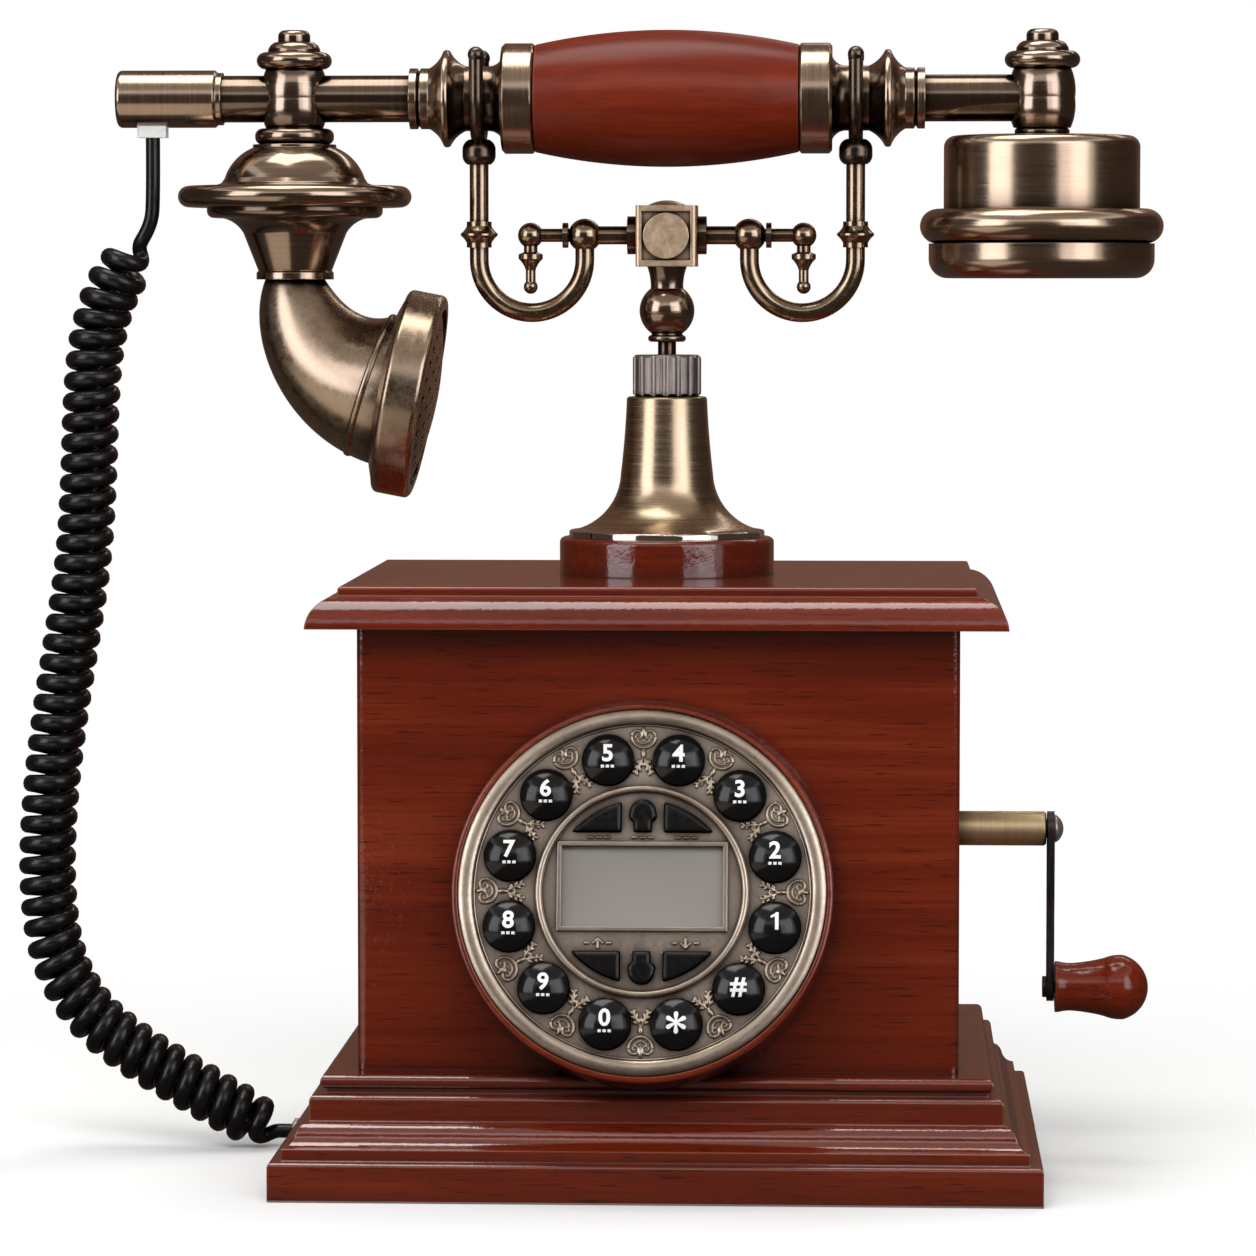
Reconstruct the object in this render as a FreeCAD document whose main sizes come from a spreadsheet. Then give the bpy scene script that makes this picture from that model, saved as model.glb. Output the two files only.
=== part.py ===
import FreeCAD
import Part
import Sketcher

import bisect
import math
import os
from types import SimpleNamespace

# French-style cradle phone: wooden cabinet, leaning key dial, brass cradle and handset, crank, curly cord.
# Frame: +Z up, +X to the dial's right, -Y to the front, origin under the middle of the plinth. Millimetres.

Vector = FreeCAD.Vector
Rotation = FreeCAD.Rotation
QUARTER = math.tan(math.pi / 8)
ALONG_X = Rotation(Vector(0, 1, 0), 90)

# Driving dimensions, one sheet cell each
SIZES = {
    # Clearances
    "fit_gap": 0.1,
    "run_gap": 0.3,
    # Small edges
    "edge": 0.8,
    "fine_edge": 0.5,
    # Plinth
    "plinth_width": 195.0,
    "plinth_depth": 165.0,
    "plinth_top": 30.5,
    "step_top": 10.0,
    "step_round": 1.2,
    "ogee_inset": 3.3,
    "ogee_bottom": 13.0,
    "ogee_top": 19.2,
    "fascia_inset": 9.75,
    "fascia_top": 25.8,
    "fascia_round": 1.6,
    "nosing_inset": 13.6,
    "nosing_bottom": 27.0,
    "nosing_reach": 1.6,
    # Cabinet box
    "box_width": 153.0,
    "box_depth": 123.0,
    "box_height": 113.4,
    "box_corner": 2.0,
    "wall": 6.0,
    "cleat": 8.0,
    "cleat_top": 118.0,
    # Lid
    "lid_width": 177.0,
    "lid_depth": 147.0,
    "lid_height": 10.4,
    "lid_lip": 0.6,
    "ovolo_inset": 6.8,
    "ovolo_top": 8.0,
    "lid_step": 0.9,
    "lid_round": 0.9,
    # Bottom cover and feet
    "cover_width": 160.0,
    "cover_depth": 130.0,
    "cover_height": 2.5,
    "cover_corner": 4.0,
    "foot_height": 1.5,
    "foot_radius": 6.0,
    "foot_inset": 10.0,
    # Pedestal, bell and collar
    "disc_radius": 28.3,
    "disc_height": 9.7,
    "disc_round": 1.4,
    "bell_radius": 25.8,
    "bell_rim": 1.8,
    "bell_ledge": 1.2,
    "bell_waist": 12.2,
    "bell_waist_rise": 16.5,
    "bell_neck": 10.6,
    "bell_height": 37.0,
    "bell_wall": 2.0,
    "bell_roof": 3.0,
    "collar_radius": 9.05,
    "collar_height": 11.0,
    "collar_flutes": 16,
    "flute_radius": 1.2,
    # Cradle stem and spring
    "stem_radius": 2.4,
    "stem_rise": 4.0,
    "stem_shoulder_radius": 4.4,
    "stem_shoulder": 2.0,
    "spring_coil_radius": 3.6,
    "spring_wire": 0.8,
    "spring_turns": 7,
    "stem_ring_radius": 5.0,
    "stem_ring_bottom": 215.4,
    "stem_ring_height": 1.8,
    "stem_ball_radius": 7.25,
    "stem_ball_height": 223.6,
    "stem_neck_radius": 4.3,
    "stem_neck_height": 229.4,
    "stem_cone_radius": 5.25,
    "stem_spigot": 5.0,
    "spigot_radius": 2.0,
    # Cradle post block
    "block_width": 16.0,
    "block_bottom": 235.2,
    "block_edge": 1.0,
    "panel_border": 1.6,
    "panel_depth": 0.8,
    "medallion_radius": 6.0,
    "medallion_rise": 1.5,
    "cap_radius": 5.2,
    "cap_rise": 1.4,
    # Cradle arms and pendants
    "arm_axis": 243.4,
    "arm_radius": 2.4,
    "arm_flange_radius": 5.0,
    "arm_flange": 2.4,
    "arm_ball_radius": 4.4,
    "arm_ring_radius": 3.3,
    "arm_ring": 1.4,
    "arm_tip_radius": 1.75,
    "end_ball_radius": 3.35,
    "end_ball_reach": 36.0,
    "drop_bottom": 228.0,
    "drop_stalk": 6.2,
    "drop_cone": 9.2,
    "drop_ring": 1.2,
    "drop_shoulder": 11.0,
    "drop_pin_radius": 1.8,
    "drop_ring_radius": 3.2,
    "drop_neck_radius": 1.3,
    "drop_ball_radius": 1.85,
    # Cradle hooks and forks
    "hook_radius": 2.5,
    "hook_inner": 21.7,
    "hook_outer": 49.6,
    "hook_bend_height": 237.0,
    "bead_radius": 4.9,
    "bead_height": 4.4,
    "bead_middle": 243.6,
    "bead_ring_radius": 3.3,
    "bead_ring": 1.2,
    "fork_bottom": 262.0,
    "knob_radius": 4.4,
    "knob_belly": 2.6,
    "fork_width": 3.8,
    "fork_tip_radius": 2.15,
    "fork_top": 292.5,
    "fork_tip_shift": 0.2,
    # Handset line
    "handset_axis": 279.3,
    "post_reach": 98.4,
    "tube_radius": 6.15,
    "tube_wall": 1.4,
    "grip_half": 34.6,
    "grip_end_radius": 14.1,
    "grip_middle_radius": 17.95,
    "ferrule_radius": 14.5,
    "ferrule_end": 43.4,
    "shoulder_radius": 10.9,
    "neck_radius": 8.5,
    "neck_start": 47.0,
    "neck_end": 53.0,
    "flare_radius": 12.5,
    "flare_reach": 58.0,
    "collar_end_radius": 8.0,
    "collar_start": 62.6,
    "collar_step": 65.3,
    "collar_end": 67.7,
    # Cord cap
    "cap_outer_radius": 7.55,
    "cap_start": 119.3,
    "cap_end": 145.2,
    "cap_lip_radius": 6.9,
    "cap_lip_start": 117.3,
    "cap_neck": 0.6,
    "cap_wall": 2.0,
    "cap_edge": 1.3,
    "tube_seat": 3.0,
    "cord_exit": 136.0,
    "clamp_width": 7.6,
    "clamp_depth": 5.6,
    "clamp_drop": 2.6,
    # Handset posts and finial nuts
    "barrel_radius": 8.6,
    "barrel_end_radius": 7.5,
    "barrel_half": 7.8,
    "disc_nut_radius": 9.9,
    "disc_nut_height": 4.4,
    "acorn_radius": 4.25,
    "acorn_height": 5.8,
    "acorn_cove": 1.5,
    "acorn_round": 1.7,
    "nut_spigot": 1.2,
    "nut_pin_radius": 3.2,
    "ring_round": 0.45,
    "mouth_ring_radius": 10.4,
    "mouth_ring": 4.2,
    "ear_ring_radius": 7.2,
    "ear_ring": 2.1,
    # Mouth bell and bent horn
    "bell_top_radius": 11.0,
    "dome_radius": 18.5,
    "dome_drop": 8.9,
    "dome_cove": 2.0,
    "brim_radius": 30.8,
    "brim_height": 5.6,
    "under_radius": 23.2,
    "under_lip": 2.8,
    "under_round": 1.8,
    "under_drop": 6.8,
    "cone_radius": 13.6,
    "cone_drop": 9.9,
    "cone_end_radius": 10.2,
    "cone_ring": 2.3,
    "horn_bore": 3.0,
    "horn_start_radius": 7.9,
    "horn_mid_radius": 14.6,
    "horn_end_radius": 20.2,
    "horn_bend": 29.5,
    "horn_turn": 79.0,
    "horn_wall": 1.6,
    # Mouthpiece
    "mouth_rim_radius": 27.2,
    "mouth_rim_height": 11.6,
    "mouth_rim_round": 1.6,
    "mouth_rim_back": 1.4,
    "grille_set": 2.6,
    "grille_radius": 23.6,
    "grille_wall": 1.4,
    "grille_rise": 3.4,
    "grille_hole": 0.95,
    "grille_pitch": 4.6,
    "mic_radius": 9.0,
    "mic_height": 7.0,
    "mic_carrier": 1.6,
    # Ear piece
    "drum_radius": 25.7,
    "drum_height": 19.1,
    "drum_round": 3.0,
    "ear_torus_radius": 31.9,
    "ear_torus_height": 9.1,
    "ear_cap_radius": 29.6,
    "ear_cap_height": 9.1,
    "ear_cap_round": 5.0,
    "ear_cap_spigot": 3.0,
    "ear_wall": 2.0,
    "ear_dish": 3.0,
    "ear_hole": 1.3,
    "ear_hole_pitch": 5.0,
    "receiver_radius": 22.0,
    "receiver_rim": 9.0,
    "receiver_height": 13.0,
    "magnet_radius": 14.0,
    # Crank
    "crank_axis": 86.9,
    "sleeve_radius": 4.55,
    "sleeve_end": 100.4,
    "sleeve_flange_radius": 8.0,
    "sleeve_flange": 2.0,
    "shaft_radius": 2.5,
    "shaft_head": 3.5,
    "screw_radius": 3.6,
    "screw_height": 1.9,
    "crank_arm_wall": 1.9,
    "crank_arm_radius": 4.6,
    "crank_throw": 42.1,
    "rivet_radius": 1.6,
    "rivet_head_radius": 2.8,
    "rivet_head": 1.1,
    "rivet_length": 20.6,
    "crank_knob_length": 24.6,
    "crank_knob_foot": 6.75,
    "crank_knob_neck": 6.4,
    "crank_knob_radius": 8.5,
    "crank_knob_waist": 5.5,
    "crank_knob_swell": 7.5,
    "crank_knob_nose": 6.5,
    # Dial
    "dial_tilt": 14.0,
    "dial_offset": -3.2,
    "dial_height": 78.6,
    "dial_radius": 48.0,
    "dial_top_reach": 4.5,
    "dial_lip": 1.5,
    "dial_recess": 2.0,
    "dial_ledge": 3.0,
    "board_ledge": 5.4,
    "dial_hollow": 37.5,
    "dial_hole_radius": 35.0,
    "dial_hole_height": 86.5,
    "plate_wall": 1.5,
    "plate_rim": 3.6,
    "plate_rim_rise": 2.6,
    "inner_ring_radius": 26.7,
    "inner_ring_width": 1.4,
    "inner_ring_rise": 1.0,
    "key_circle": 34.5,
    "key_radius": 6.3,
    "key_side": 1.3,
    "key_dome": 2.4,
    "key_flange": 0.8,
    "key_flange_height": 1.3,
    "window_width": 40.7,
    "window_height": 20.5,
    "window_rise": 1.3,
    "window_frame": 1.0,
    "window_frame_rise": 0.7,
    "display_border": 1.6,
    "function_row": 15.3,
    "function_radius": 23.0,
    "function_side": 5.6,
    "bulb_radius": 3.0,
    "bulb_foot": 2.0,
    "bulb_reach": 20.1,
    "function_rise": 1.4,
    "board_wall": 1.4,
    "switch_radius": 2.2,
    "switch_height": 1.0,
    # Main board
    "main_board_depth": 84.0,
    "main_board_wall": 1.6,
    "hook_switch_width": 14.0,
    "hook_switch_depth": 8.0,
    "hook_switch_height": 9.0,
    "sounder_radius": 15.0,
    "sounder_height": 9.0,
    "sounder_place": 38.0,
    # Sockets and plug
    "jack_place": 40.0,
    "jack_height": 50.0,
    "jack_width": 15.0,
    "jack_rise": 13.0,
    "jack_length": 18.0,
    "jack_flange": 2.0,
    "jack_port_width": 10.6,
    "jack_port_rise": 7.8,
    "jack_port_depth": 13.0,
    "socket_width": 11.4,
    "socket_bottom": 0.8,
    "socket_top": 8.7,
    "socket_length": 14.0,
    "plug_width": 7.6,
    "plug_rise": 5.8,
    "plug_length": 11.0,
    "plug_tail": 2.2,
    # Curly cord
    "cord_wire": 3.8,
    "curl_radius": 5.75,
    "curl_pitch": 5.4,
}

doc = FreeCAD.newDocument("CradlePhone")
sheet = doc.addObject("Spreadsheet::Sheet", "Sizes")
for row, (alias, number) in enumerate(SIZES.items(), start=1):
    sheet.set(f"A{row}", alias)
    sheet.set(f"B{row}", str(number))
    sheet.setAlias(f"B{row}", alias)
doc.recompute()


class Size:
    """A number together with the sheet expression that gives it."""

    def __init__(self, value, text):
        self.value = value
        self.text = text

    def __add__(self, other):
        other = as_size(other)
        return Size(self.value + other.value, f"({self.text} + {other.text})")

    def __sub__(self, other):
        other = as_size(other)
        return Size(self.value - other.value, f"({self.text} - {other.text})")

    def __mul__(self, other):
        other = as_size(other)
        return Size(self.value * other.value, f"{self.text} * {other.text}")

    def __truediv__(self, other):
        other = as_size(other)
        return Size(self.value / other.value, f"{self.text} / {other.text}")

    def __rsub__(self, other):
        return as_size(other) - self

    def __neg__(self):
        return Size(-self.value, f"(0 - {self.text})")

    __radd__ = __add__
    __rmul__ = __mul__


def as_size(value):
    """A Size as it is, and a plain number as a Size."""
    return value if isinstance(value, Size) else Size(float(value), f"({float(value)!r})")


def number(value):
    """The plain number of a Size or of a number."""
    return value.value if isinstance(value, Size) else float(value)


def root(value):
    return Size(math.sqrt(value.value), f"sqrt({value.text})")


def sine(degrees):
    return Size(math.sin(math.radians(degrees.value)), f"sin({degrees.text})")


def cosine(degrees):
    return Size(math.cos(math.radians(degrees.value)), f"cos({degrees.text})")


size = SimpleNamespace(**{alias: Size(float(sheet.get(alias)), f"Sizes.{alias}") for alias in SIZES})

# Sketches, features and placements


def bind(target, path, value):
    """Drive one property of an object from the sheet."""
    target.setExpression(path, as_size(value).text)


def place(target, x=0, y=0, z=0, rotation=Rotation()):
    """Put an object somewhere, with its coordinates driven from the sheet."""
    target.Placement = FreeCAD.Placement(Vector(number(x), number(y), number(z)), rotation)
    for axis, value in (("x", x), ("y", y), ("z", z)):
        if isinstance(value, Size):
            bind(target, f"Placement.Base.{axis}", value)
    return target


def new_body(label):
    body = doc.addObject("PartDesign::Body", label)
    body.Label = label
    return body


def new_sketch(body, plane, offset=0):
    """A sketch on one of the body's own origin planes, moved along the plane's normal."""
    sketch = body.newObject("Sketcher::SketchObject", "Outline")
    support = [part for part in body.Origin.OriginFeatures if part.Role == f"{plane}_Plane"][0]
    sketch.AttachmentSupport = [(support, "")]
    sketch.MapMode = "FlatFace"
    sketch.AttachmentOffset = FreeCAD.Placement(Vector(0, 0, number(offset)), Rotation())
    if isinstance(offset, Size):
        bind(sketch, "AttachmentOffset.Base.z", offset)
    return sketch


def measure(sketch, rules):
    """Add dimensions, each a list of constraint arguments and the value that drives it."""
    for arguments, value in rules:
        index = sketch.addConstraint(Sketcher.Constraint(*arguments, number(value)))
        if isinstance(value, Size):
            bind(sketch, f"Constraints[{index}]", value)


def pin_point(geometry, position, x, y):
    """The two dimensions that hold a point of the sketch."""
    return [
        (("DistanceX", -1, 1, geometry, position), x),
        (("DistanceY", -1, 1, geometry, position), y),
    ]


def draw(sketch, points, closed=True):
    """Draw an outline through (x, y) points.

    A third number is the bulge of the side that leaves a point: the tangent of a quarter of its turn,
    positive where the side curves to the right of the way it runs.
    """
    count = len(points)
    sides = count if closed else count - 1
    shapes = []
    curves = []
    for index in range(sides):
        here, there = points[index], points[(index + 1) % count]
        start = Vector(number(here[0]), number(here[1]), 0)
        end = Vector(number(there[0]), number(there[1]), 0)
        bulge = here[2] if len(here) > 2 else 0
        if bulge:
            across = Vector(end.y - start.y, start.x - end.x, 0)
            shapes.append(Part.Arc(start, (start + end) * 0.5 + across * (bulge / 2), end))
            run = root(as_size(there[0] - here[0]) * (there[0] - here[0])
                       + as_size(there[1] - here[1]) * (there[1] - here[1]))
            curves.append((index, run * ((1 + bulge * bulge) / (4 * abs(bulge)))))
        else:
            shapes.append(Part.LineSegment(start, end))
    first = sketch.addGeometry(shapes)[0]
    ends = []
    for index in range(sides):
        geometry = first + index
        start = Vector(number(points[index][0]), number(points[index][1]), 0)
        forward = sketch.getPoint(geometry, 1).distanceToPoint(start) < 1e-6
        ends.append((geometry, 1, 2) if forward else (geometry, 2, 1))
    joints = range(sides if closed else sides - 1)
    following = [ends[(index + 1) % sides] for index in joints]
    sketch.addConstraint([
        Sketcher.Constraint("Coincident", ends[index][0], ends[index][2], *following[index][:2])
        for index in joints])
    rules = []
    for index in range(sides):
        rules += pin_point(ends[index][0], ends[index][1], *points[index][:2])
    if not closed:
        rules += pin_point(ends[-1][0], ends[-1][2], *points[-1][:2])
    rules += [(("Radius", first + index), radius) for index, radius in curves]
    measure(sketch, rules)
    return sketch


def dome(rise, run):
    """The bulge of a dome's side that is level at its middle."""
    return math.tan(math.atan2(number(rise), number(run)) / 2)


def ball(radius, ball_radius):
    """The bulge of a ball's side between its widest ring and a smaller radius."""
    return math.tan(math.acos(number(radius) / number(ball_radius)) / 4)


def draw_circle(sketch, x, y, radius):
    circle = Part.Circle(Vector(number(x), number(y), 0), Vector(0, 0, 1), number(radius))
    index = sketch.addGeometry(circle)
    measure(sketch, pin_point(index, 3, x, y) + [(("Radius", index), radius)])
    return sketch


def turn(body, profile, cut=False):
    """Revolve a (radius, height) profile about the body's Z axis."""
    sketch = draw(new_sketch(body, "XZ"), profile)
    feature = body.newObject("PartDesign::Groove" if cut else "PartDesign::Revolution", "Turning")
    feature.Profile = sketch
    feature.ReferenceAxis = (sketch, ["V_Axis"])
    feature.Angle = 360
    return feature


def turned(label, profile):
    body = new_body(label)
    turn(body, profile)
    return body


def pad(body, sketch, length, reverse=False):
    feature = body.newObject("PartDesign::Pad", "Pad")
    feature.Profile = sketch
    feature.Reversed = reverse
    bind(feature, "Length", length)
    return feature


def pocket(body, sketch, length, reverse=False):
    feature = body.newObject("PartDesign::Pocket", "Pocket")
    feature.Profile = sketch
    feature.Reversed = reverse
    bind(feature, "Length", length)
    return feature


def sweep(body, section, path):
    """A rod along a path that starts square to its section."""
    pipe = body.newObject("PartDesign::AdditivePipe", "Rod")
    pipe.Profile = section
    pipe.Spine = path
    return pipe


def repeat_round(body, feature, count):
    """Repeat a feature round the normal of its own sketch."""
    pattern = body.newObject("PartDesign::PolarPattern", "Round")
    pattern.Originals = [feature]
    pattern.Axis = (feature.Profile[0], ["N_Axis"])
    pattern.Angle = 360
    pattern.Occurrences = int(number(count))
    if isinstance(count, Size):
        bind(pattern, "Occurrences", count)
    body.Tip = pattern
    return pattern


def rectangle(half_x, half_y, x=0, y=0):
    """A rectangle's corners about a middle point."""
    left, right, low, high = x - half_x, x + half_x, y - half_y, y + half_y
    return [(left, low), (right, low), (right, high), (left, high)]


def rounded_rectangle(half_x, half_y, corner):
    return [
        (corner - half_x, -half_y), (half_x - corner, -half_y, QUARTER),
        (half_x, corner - half_y), (half_x, half_y - corner, QUARTER),
        (half_x - corner, half_y), (corner - half_x, half_y, QUARTER),
        (-half_x, half_y - corner), (-half_x, corner - half_y, QUARTER),
    ]


def block(label, low, high):
    """A box between two corners."""
    box = doc.addObject("Part::Box", label)
    box.Label = label
    for name, start, end in zip(("Length", "Width", "Height"), low, high):
        bind(box, name, as_size(end) - start)
    return place(box, *low)


def cylinder(label, radius, height):
    rod = doc.addObject("Part::Cylinder", label)
    rod.Label = label
    bind(rod, "Radius", radius)
    bind(rod, "Height", height)
    return rod


def ball_solid(label, radius):
    solid = doc.addObject("Part::Sphere", label)
    bind(solid, "Radius", radius)
    return solid


def cut(label, base, *tools):
    """Cut tools from a base, one after another, and label the result."""
    for tool in tools:
        result = doc.addObject("Part::Cut", f"{label}_cut")
        result.Base = base
        result.Tool = tool
        base = result
    base.Label = label
    return base


def fuse(label, *shapes):
    result = doc.addObject("Part::MultiFuse", label)
    result.Shapes = list(shapes)
    result.Label = label
    return result


def group(label, *shapes):
    """Separate solids that make one sub-part."""
    result = doc.addObject("Part::Compound", label)
    result.Links = list(shapes)
    result.Label = label
    return result


def mirrored_pair(label, right):
    """A piece on the right and its mirror image on the left."""
    left = doc.addObject("Part::Mirroring", f"{right.Name}_left")
    left.Source = right
    left.Normal = Vector(1, 0, 0)
    return group(label, right, left)


def moulding(name, half_width, half_depth, profile):
    """A rectangular block whose four sides carry one (inset, height, bulge) profile, with mitred corners."""
    runs = []
    for axis, half, reach in (("x", half_width, half_depth), ("y", half_depth, half_width)):
        body = new_body(f"{name}_run_{axis}")
        right = [(half - inset, height, *bulge) for inset, height, *bulge in profile]
        left = [(-x, height) for x, height, *bulge in reversed(right)]
        bulges = [bulge for x, height, *bulge in reversed(right)][1:] + [[]]
        left = [(*point, *bulge) for point, bulge in zip(left, bulges)]
        sketch = draw(new_sketch(body, "XZ" if axis == "x" else "YZ"), right + left)
        feature = pad(body, sketch, reach * 2)
        feature.Midplane = True
        runs.append(body)
    mitred = doc.addObject("Part::Common", f"{name}_mitred")
    mitred.Base, mitred.Tool = runs
    return mitred


# Levels and places that several pieces share
BOX_TOP = size.plinth_top + size.box_height
LID_TOP = BOX_TOP + size.lid_height
DISC_TOP = LID_TOP + size.disc_height
BELL_TOP = DISC_TOP + size.bell_height
COLLAR_TOP = BELL_TOP + size.collar_height
STEM_HOLE = size.stem_radius + size.run_gap
STEM_GUIDE = size.stem_radius + size.fit_gap
SHOULDER_TOP = BELL_TOP - size.bell_roof - size.stem_rise - size.run_gap
SHOULDER_BOTTOM = SHOULDER_TOP - size.stem_shoulder
BOARD_TOP = size.cleat_top + size.main_board_wall
STEM_BOTTOM = BOARD_TOP + size.hook_switch_height + size.run_gap
BOX_FRONT = size.box_depth / 2
INNER_WIDTH = size.box_width / 2 - size.wall
INNER_DEPTH = size.box_depth / 2 - size.wall


def base_plinth():
    profile = [
        (0, 0),
        (0, size.step_top - size.step_round, QUARTER),
        (size.step_round, size.step_top),
        (size.ogee_inset, size.step_top),
        (size.ogee_inset, size.ogee_bottom, -0.3),
        ((size.ogee_inset + size.fascia_inset) / 2, (size.ogee_bottom + size.ogee_top) / 2, 0.3),
        (size.fascia_inset, size.ogee_top),
        (size.fascia_inset, size.fascia_top - size.fascia_round, QUARTER),
        (size.fascia_inset + size.fascia_round, size.fascia_top),
        (size.nosing_inset, size.fascia_top),
        (size.nosing_inset, size.nosing_bottom, 0.75),
        (size.nosing_inset, size.plinth_top),
    ]
    mitred = moulding("plinth", size.plinth_width / 2, size.plinth_depth / 2, profile)
    opening = block("plinth_opening", (-INNER_WIDTH, -INNER_DEPTH, 0),
                    (INNER_WIDTH, INNER_DEPTH, size.plinth_top))
    gap = size.fit_gap
    rebate = block(
        "plinth_rebate",
        (-size.cover_width / 2 - gap, -size.cover_depth / 2 - gap, 0),
        (size.cover_width / 2 + gap, size.cover_depth / 2 + gap, size.foot_height + size.cover_height),
    )
    notch = block(
        "socket_notch",
        (-size.plinth_width / 2 - gap, -size.socket_width / 2 - gap, 0),
        (size.socket_length - size.plinth_width / 2, size.socket_width / 2 + gap, size.socket_top + gap),
    )
    return cut("base_plinth", mitred, opening, rebate, notch)


def cabinet_box():
    body = new_body("cabinet_box")
    half_x, half_y = size.box_width / 2, size.box_depth / 2
    outline = rounded_rectangle(half_x, half_y, size.box_corner)
    pad(body, draw(new_sketch(body, "XY", size.plinth_top), outline), size.box_height)
    pocket(body, draw(new_sketch(body, "XY", size.plinth_top), rectangle(INNER_WIDTH, INNER_DEPTH)),
           size.box_height, reverse=True)
    for side in (-1, 1):
        outline = rectangle(size.cleat / 2, INNER_DEPTH, (INNER_WIDTH - size.cleat / 2) * side)
        pad(body, draw(new_sketch(body, "XY", size.cleat_top - size.cleat), outline), size.cleat)
    dial_hole = draw_circle(new_sketch(body, "XZ", BOX_FRONT), size.dial_offset, size.dial_hole_height,
                            size.dial_hole_radius)
    pocket(body, dial_hole, size.wall)
    fit = size.fit_gap
    jack_hole = draw(new_sketch(body, "XZ", -BOX_FRONT), rectangle(
        size.jack_width / 2 + fit, size.jack_rise / 2 + fit, size.jack_place, size.jack_height))
    pocket(body, jack_hole, size.wall, reverse=True)
    sleeve_hole = draw_circle(new_sketch(body, "YZ", half_x), 0, size.crank_axis, size.sleeve_radius + fit)
    pocket(body, sleeve_hole, size.wall)
    return body


def lid():
    profile = [
        (0, BOX_TOP),
        (0, BOX_TOP + size.lid_lip, 0.32),
        (size.ovolo_inset, BOX_TOP + size.ovolo_top),
        (size.ovolo_inset + size.lid_step, BOX_TOP + size.ovolo_top),
        (size.ovolo_inset + size.lid_step, LID_TOP - size.lid_round, QUARTER),
        (size.ovolo_inset + size.lid_step + size.lid_round, LID_TOP),
    ]
    mitred = moulding("lid", size.lid_width / 2, size.lid_depth / 2, profile)
    hole = place(cylinder("lid_hole", STEM_HOLE, size.lid_height), z=BOX_TOP)
    return cut("lid", mitred, hole)


def bottom_cover():
    body = new_body("bottom_cover")
    outline = rounded_rectangle(size.cover_width / 2, size.cover_depth / 2, size.cover_corner)
    pad(body, draw(new_sketch(body, "XY", size.foot_height), outline), size.cover_height)
    return body


def rubber_feet():
    feet = []
    reach_x = size.cover_width / 2 - size.foot_inset
    reach_y = size.cover_depth / 2 - size.foot_inset
    for side_x in (-1, 1):
        for side_y in (-1, 1):
            foot = cylinder("foot", size.foot_radius, size.foot_height)
            feet.append(place(foot, reach_x * side_x, reach_y * side_y))
    return group("rubber_feet", *feet)


# Pedestal and cradle


def pedestal_disc():
    top = DISC_TOP - size.disc_round
    return turned("pedestal_disc", [
        (STEM_HOLE, LID_TOP), (size.disc_radius, LID_TOP), (size.disc_radius, top, QUARTER),
        (size.disc_radius - size.disc_round, DISC_TOP), (STEM_HOLE, DISC_TOP),
    ])


def pedestal_bell():
    rim_top = DISC_TOP + size.bell_rim
    waist = DISC_TOP + size.bell_waist_rise
    wall = size.bell_wall
    return turned("pedestal_bell", [
        (size.bell_radius - wall, DISC_TOP),
        (size.bell_radius, DISC_TOP),
        (size.bell_radius, rim_top - size.fine_edge, QUARTER),
        (size.bell_radius - size.fine_edge, rim_top),
        (size.bell_radius - size.bell_ledge, rim_top, -0.34),
        (size.bell_waist, waist, -0.02),
        (size.bell_neck, BELL_TOP - size.edge, QUARTER),
        (size.bell_neck - size.edge, BELL_TOP),
        (STEM_HOLE, BELL_TOP),
        (STEM_HOLE, BELL_TOP - size.bell_roof),
        (size.bell_neck - wall, BELL_TOP - size.bell_roof, 0.02),
        (size.bell_waist - wall, waist, 0.34),
    ])


def knurled_collar():
    bevel, radius, flute_radius = size.edge, size.collar_radius, size.flute_radius
    body = turned("knurled_collar", [
        (STEM_GUIDE, BELL_TOP), (radius - bevel, BELL_TOP), (radius, BELL_TOP + bevel),
        (radius, COLLAR_TOP - bevel), (radius - bevel, COLLAR_TOP), (STEM_GUIDE, COLLAR_TOP),
    ])
    groove = draw_circle(new_sketch(body, "XY", BELL_TOP), radius + flute_radius / 2, 0, flute_radius)
    flute = pocket(body, groove, size.collar_height, reverse=True)
    repeat_round(body, flute, size.collar_flutes)
    return body


def cradle_stem():
    big, rod, neck = size.stem_ball_radius, size.stem_radius, size.stem_neck_radius
    half_ring = size.stem_ring_height / 2
    ring = size.stem_ring_radius - half_ring
    ball_foot = root(big * big - ring * ring)
    ball_neck = root(big * big - neck * neck)
    ring_top = size.stem_ring_bottom + size.stem_ring_height
    spigot = size.spigot_radius
    return turned("cradle_stem", [
        (0, STEM_BOTTOM), (rod, STEM_BOTTOM), (rod, SHOULDER_BOTTOM),
        (size.stem_shoulder_radius, SHOULDER_BOTTOM), (size.stem_shoulder_radius, SHOULDER_TOP),
        (rod, SHOULDER_TOP), (rod, size.stem_ring_bottom),
        (ring, size.stem_ring_bottom, QUARTER),
        (size.stem_ring_radius, size.stem_ring_bottom + half_ring, QUARTER),
        (ring, ring_top), (ring, size.stem_ball_height - ball_foot, ball(ring, big)),
        (big, size.stem_ball_height, ball(neck, big)), (neck, size.stem_ball_height + ball_neck),
        (neck, size.stem_neck_height, -0.1),
        (size.stem_cone_radius, size.block_bottom), (spigot, size.block_bottom),
        (spigot, size.block_bottom + size.stem_spigot), (0, size.block_bottom + size.stem_spigot),
    ])


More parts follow.
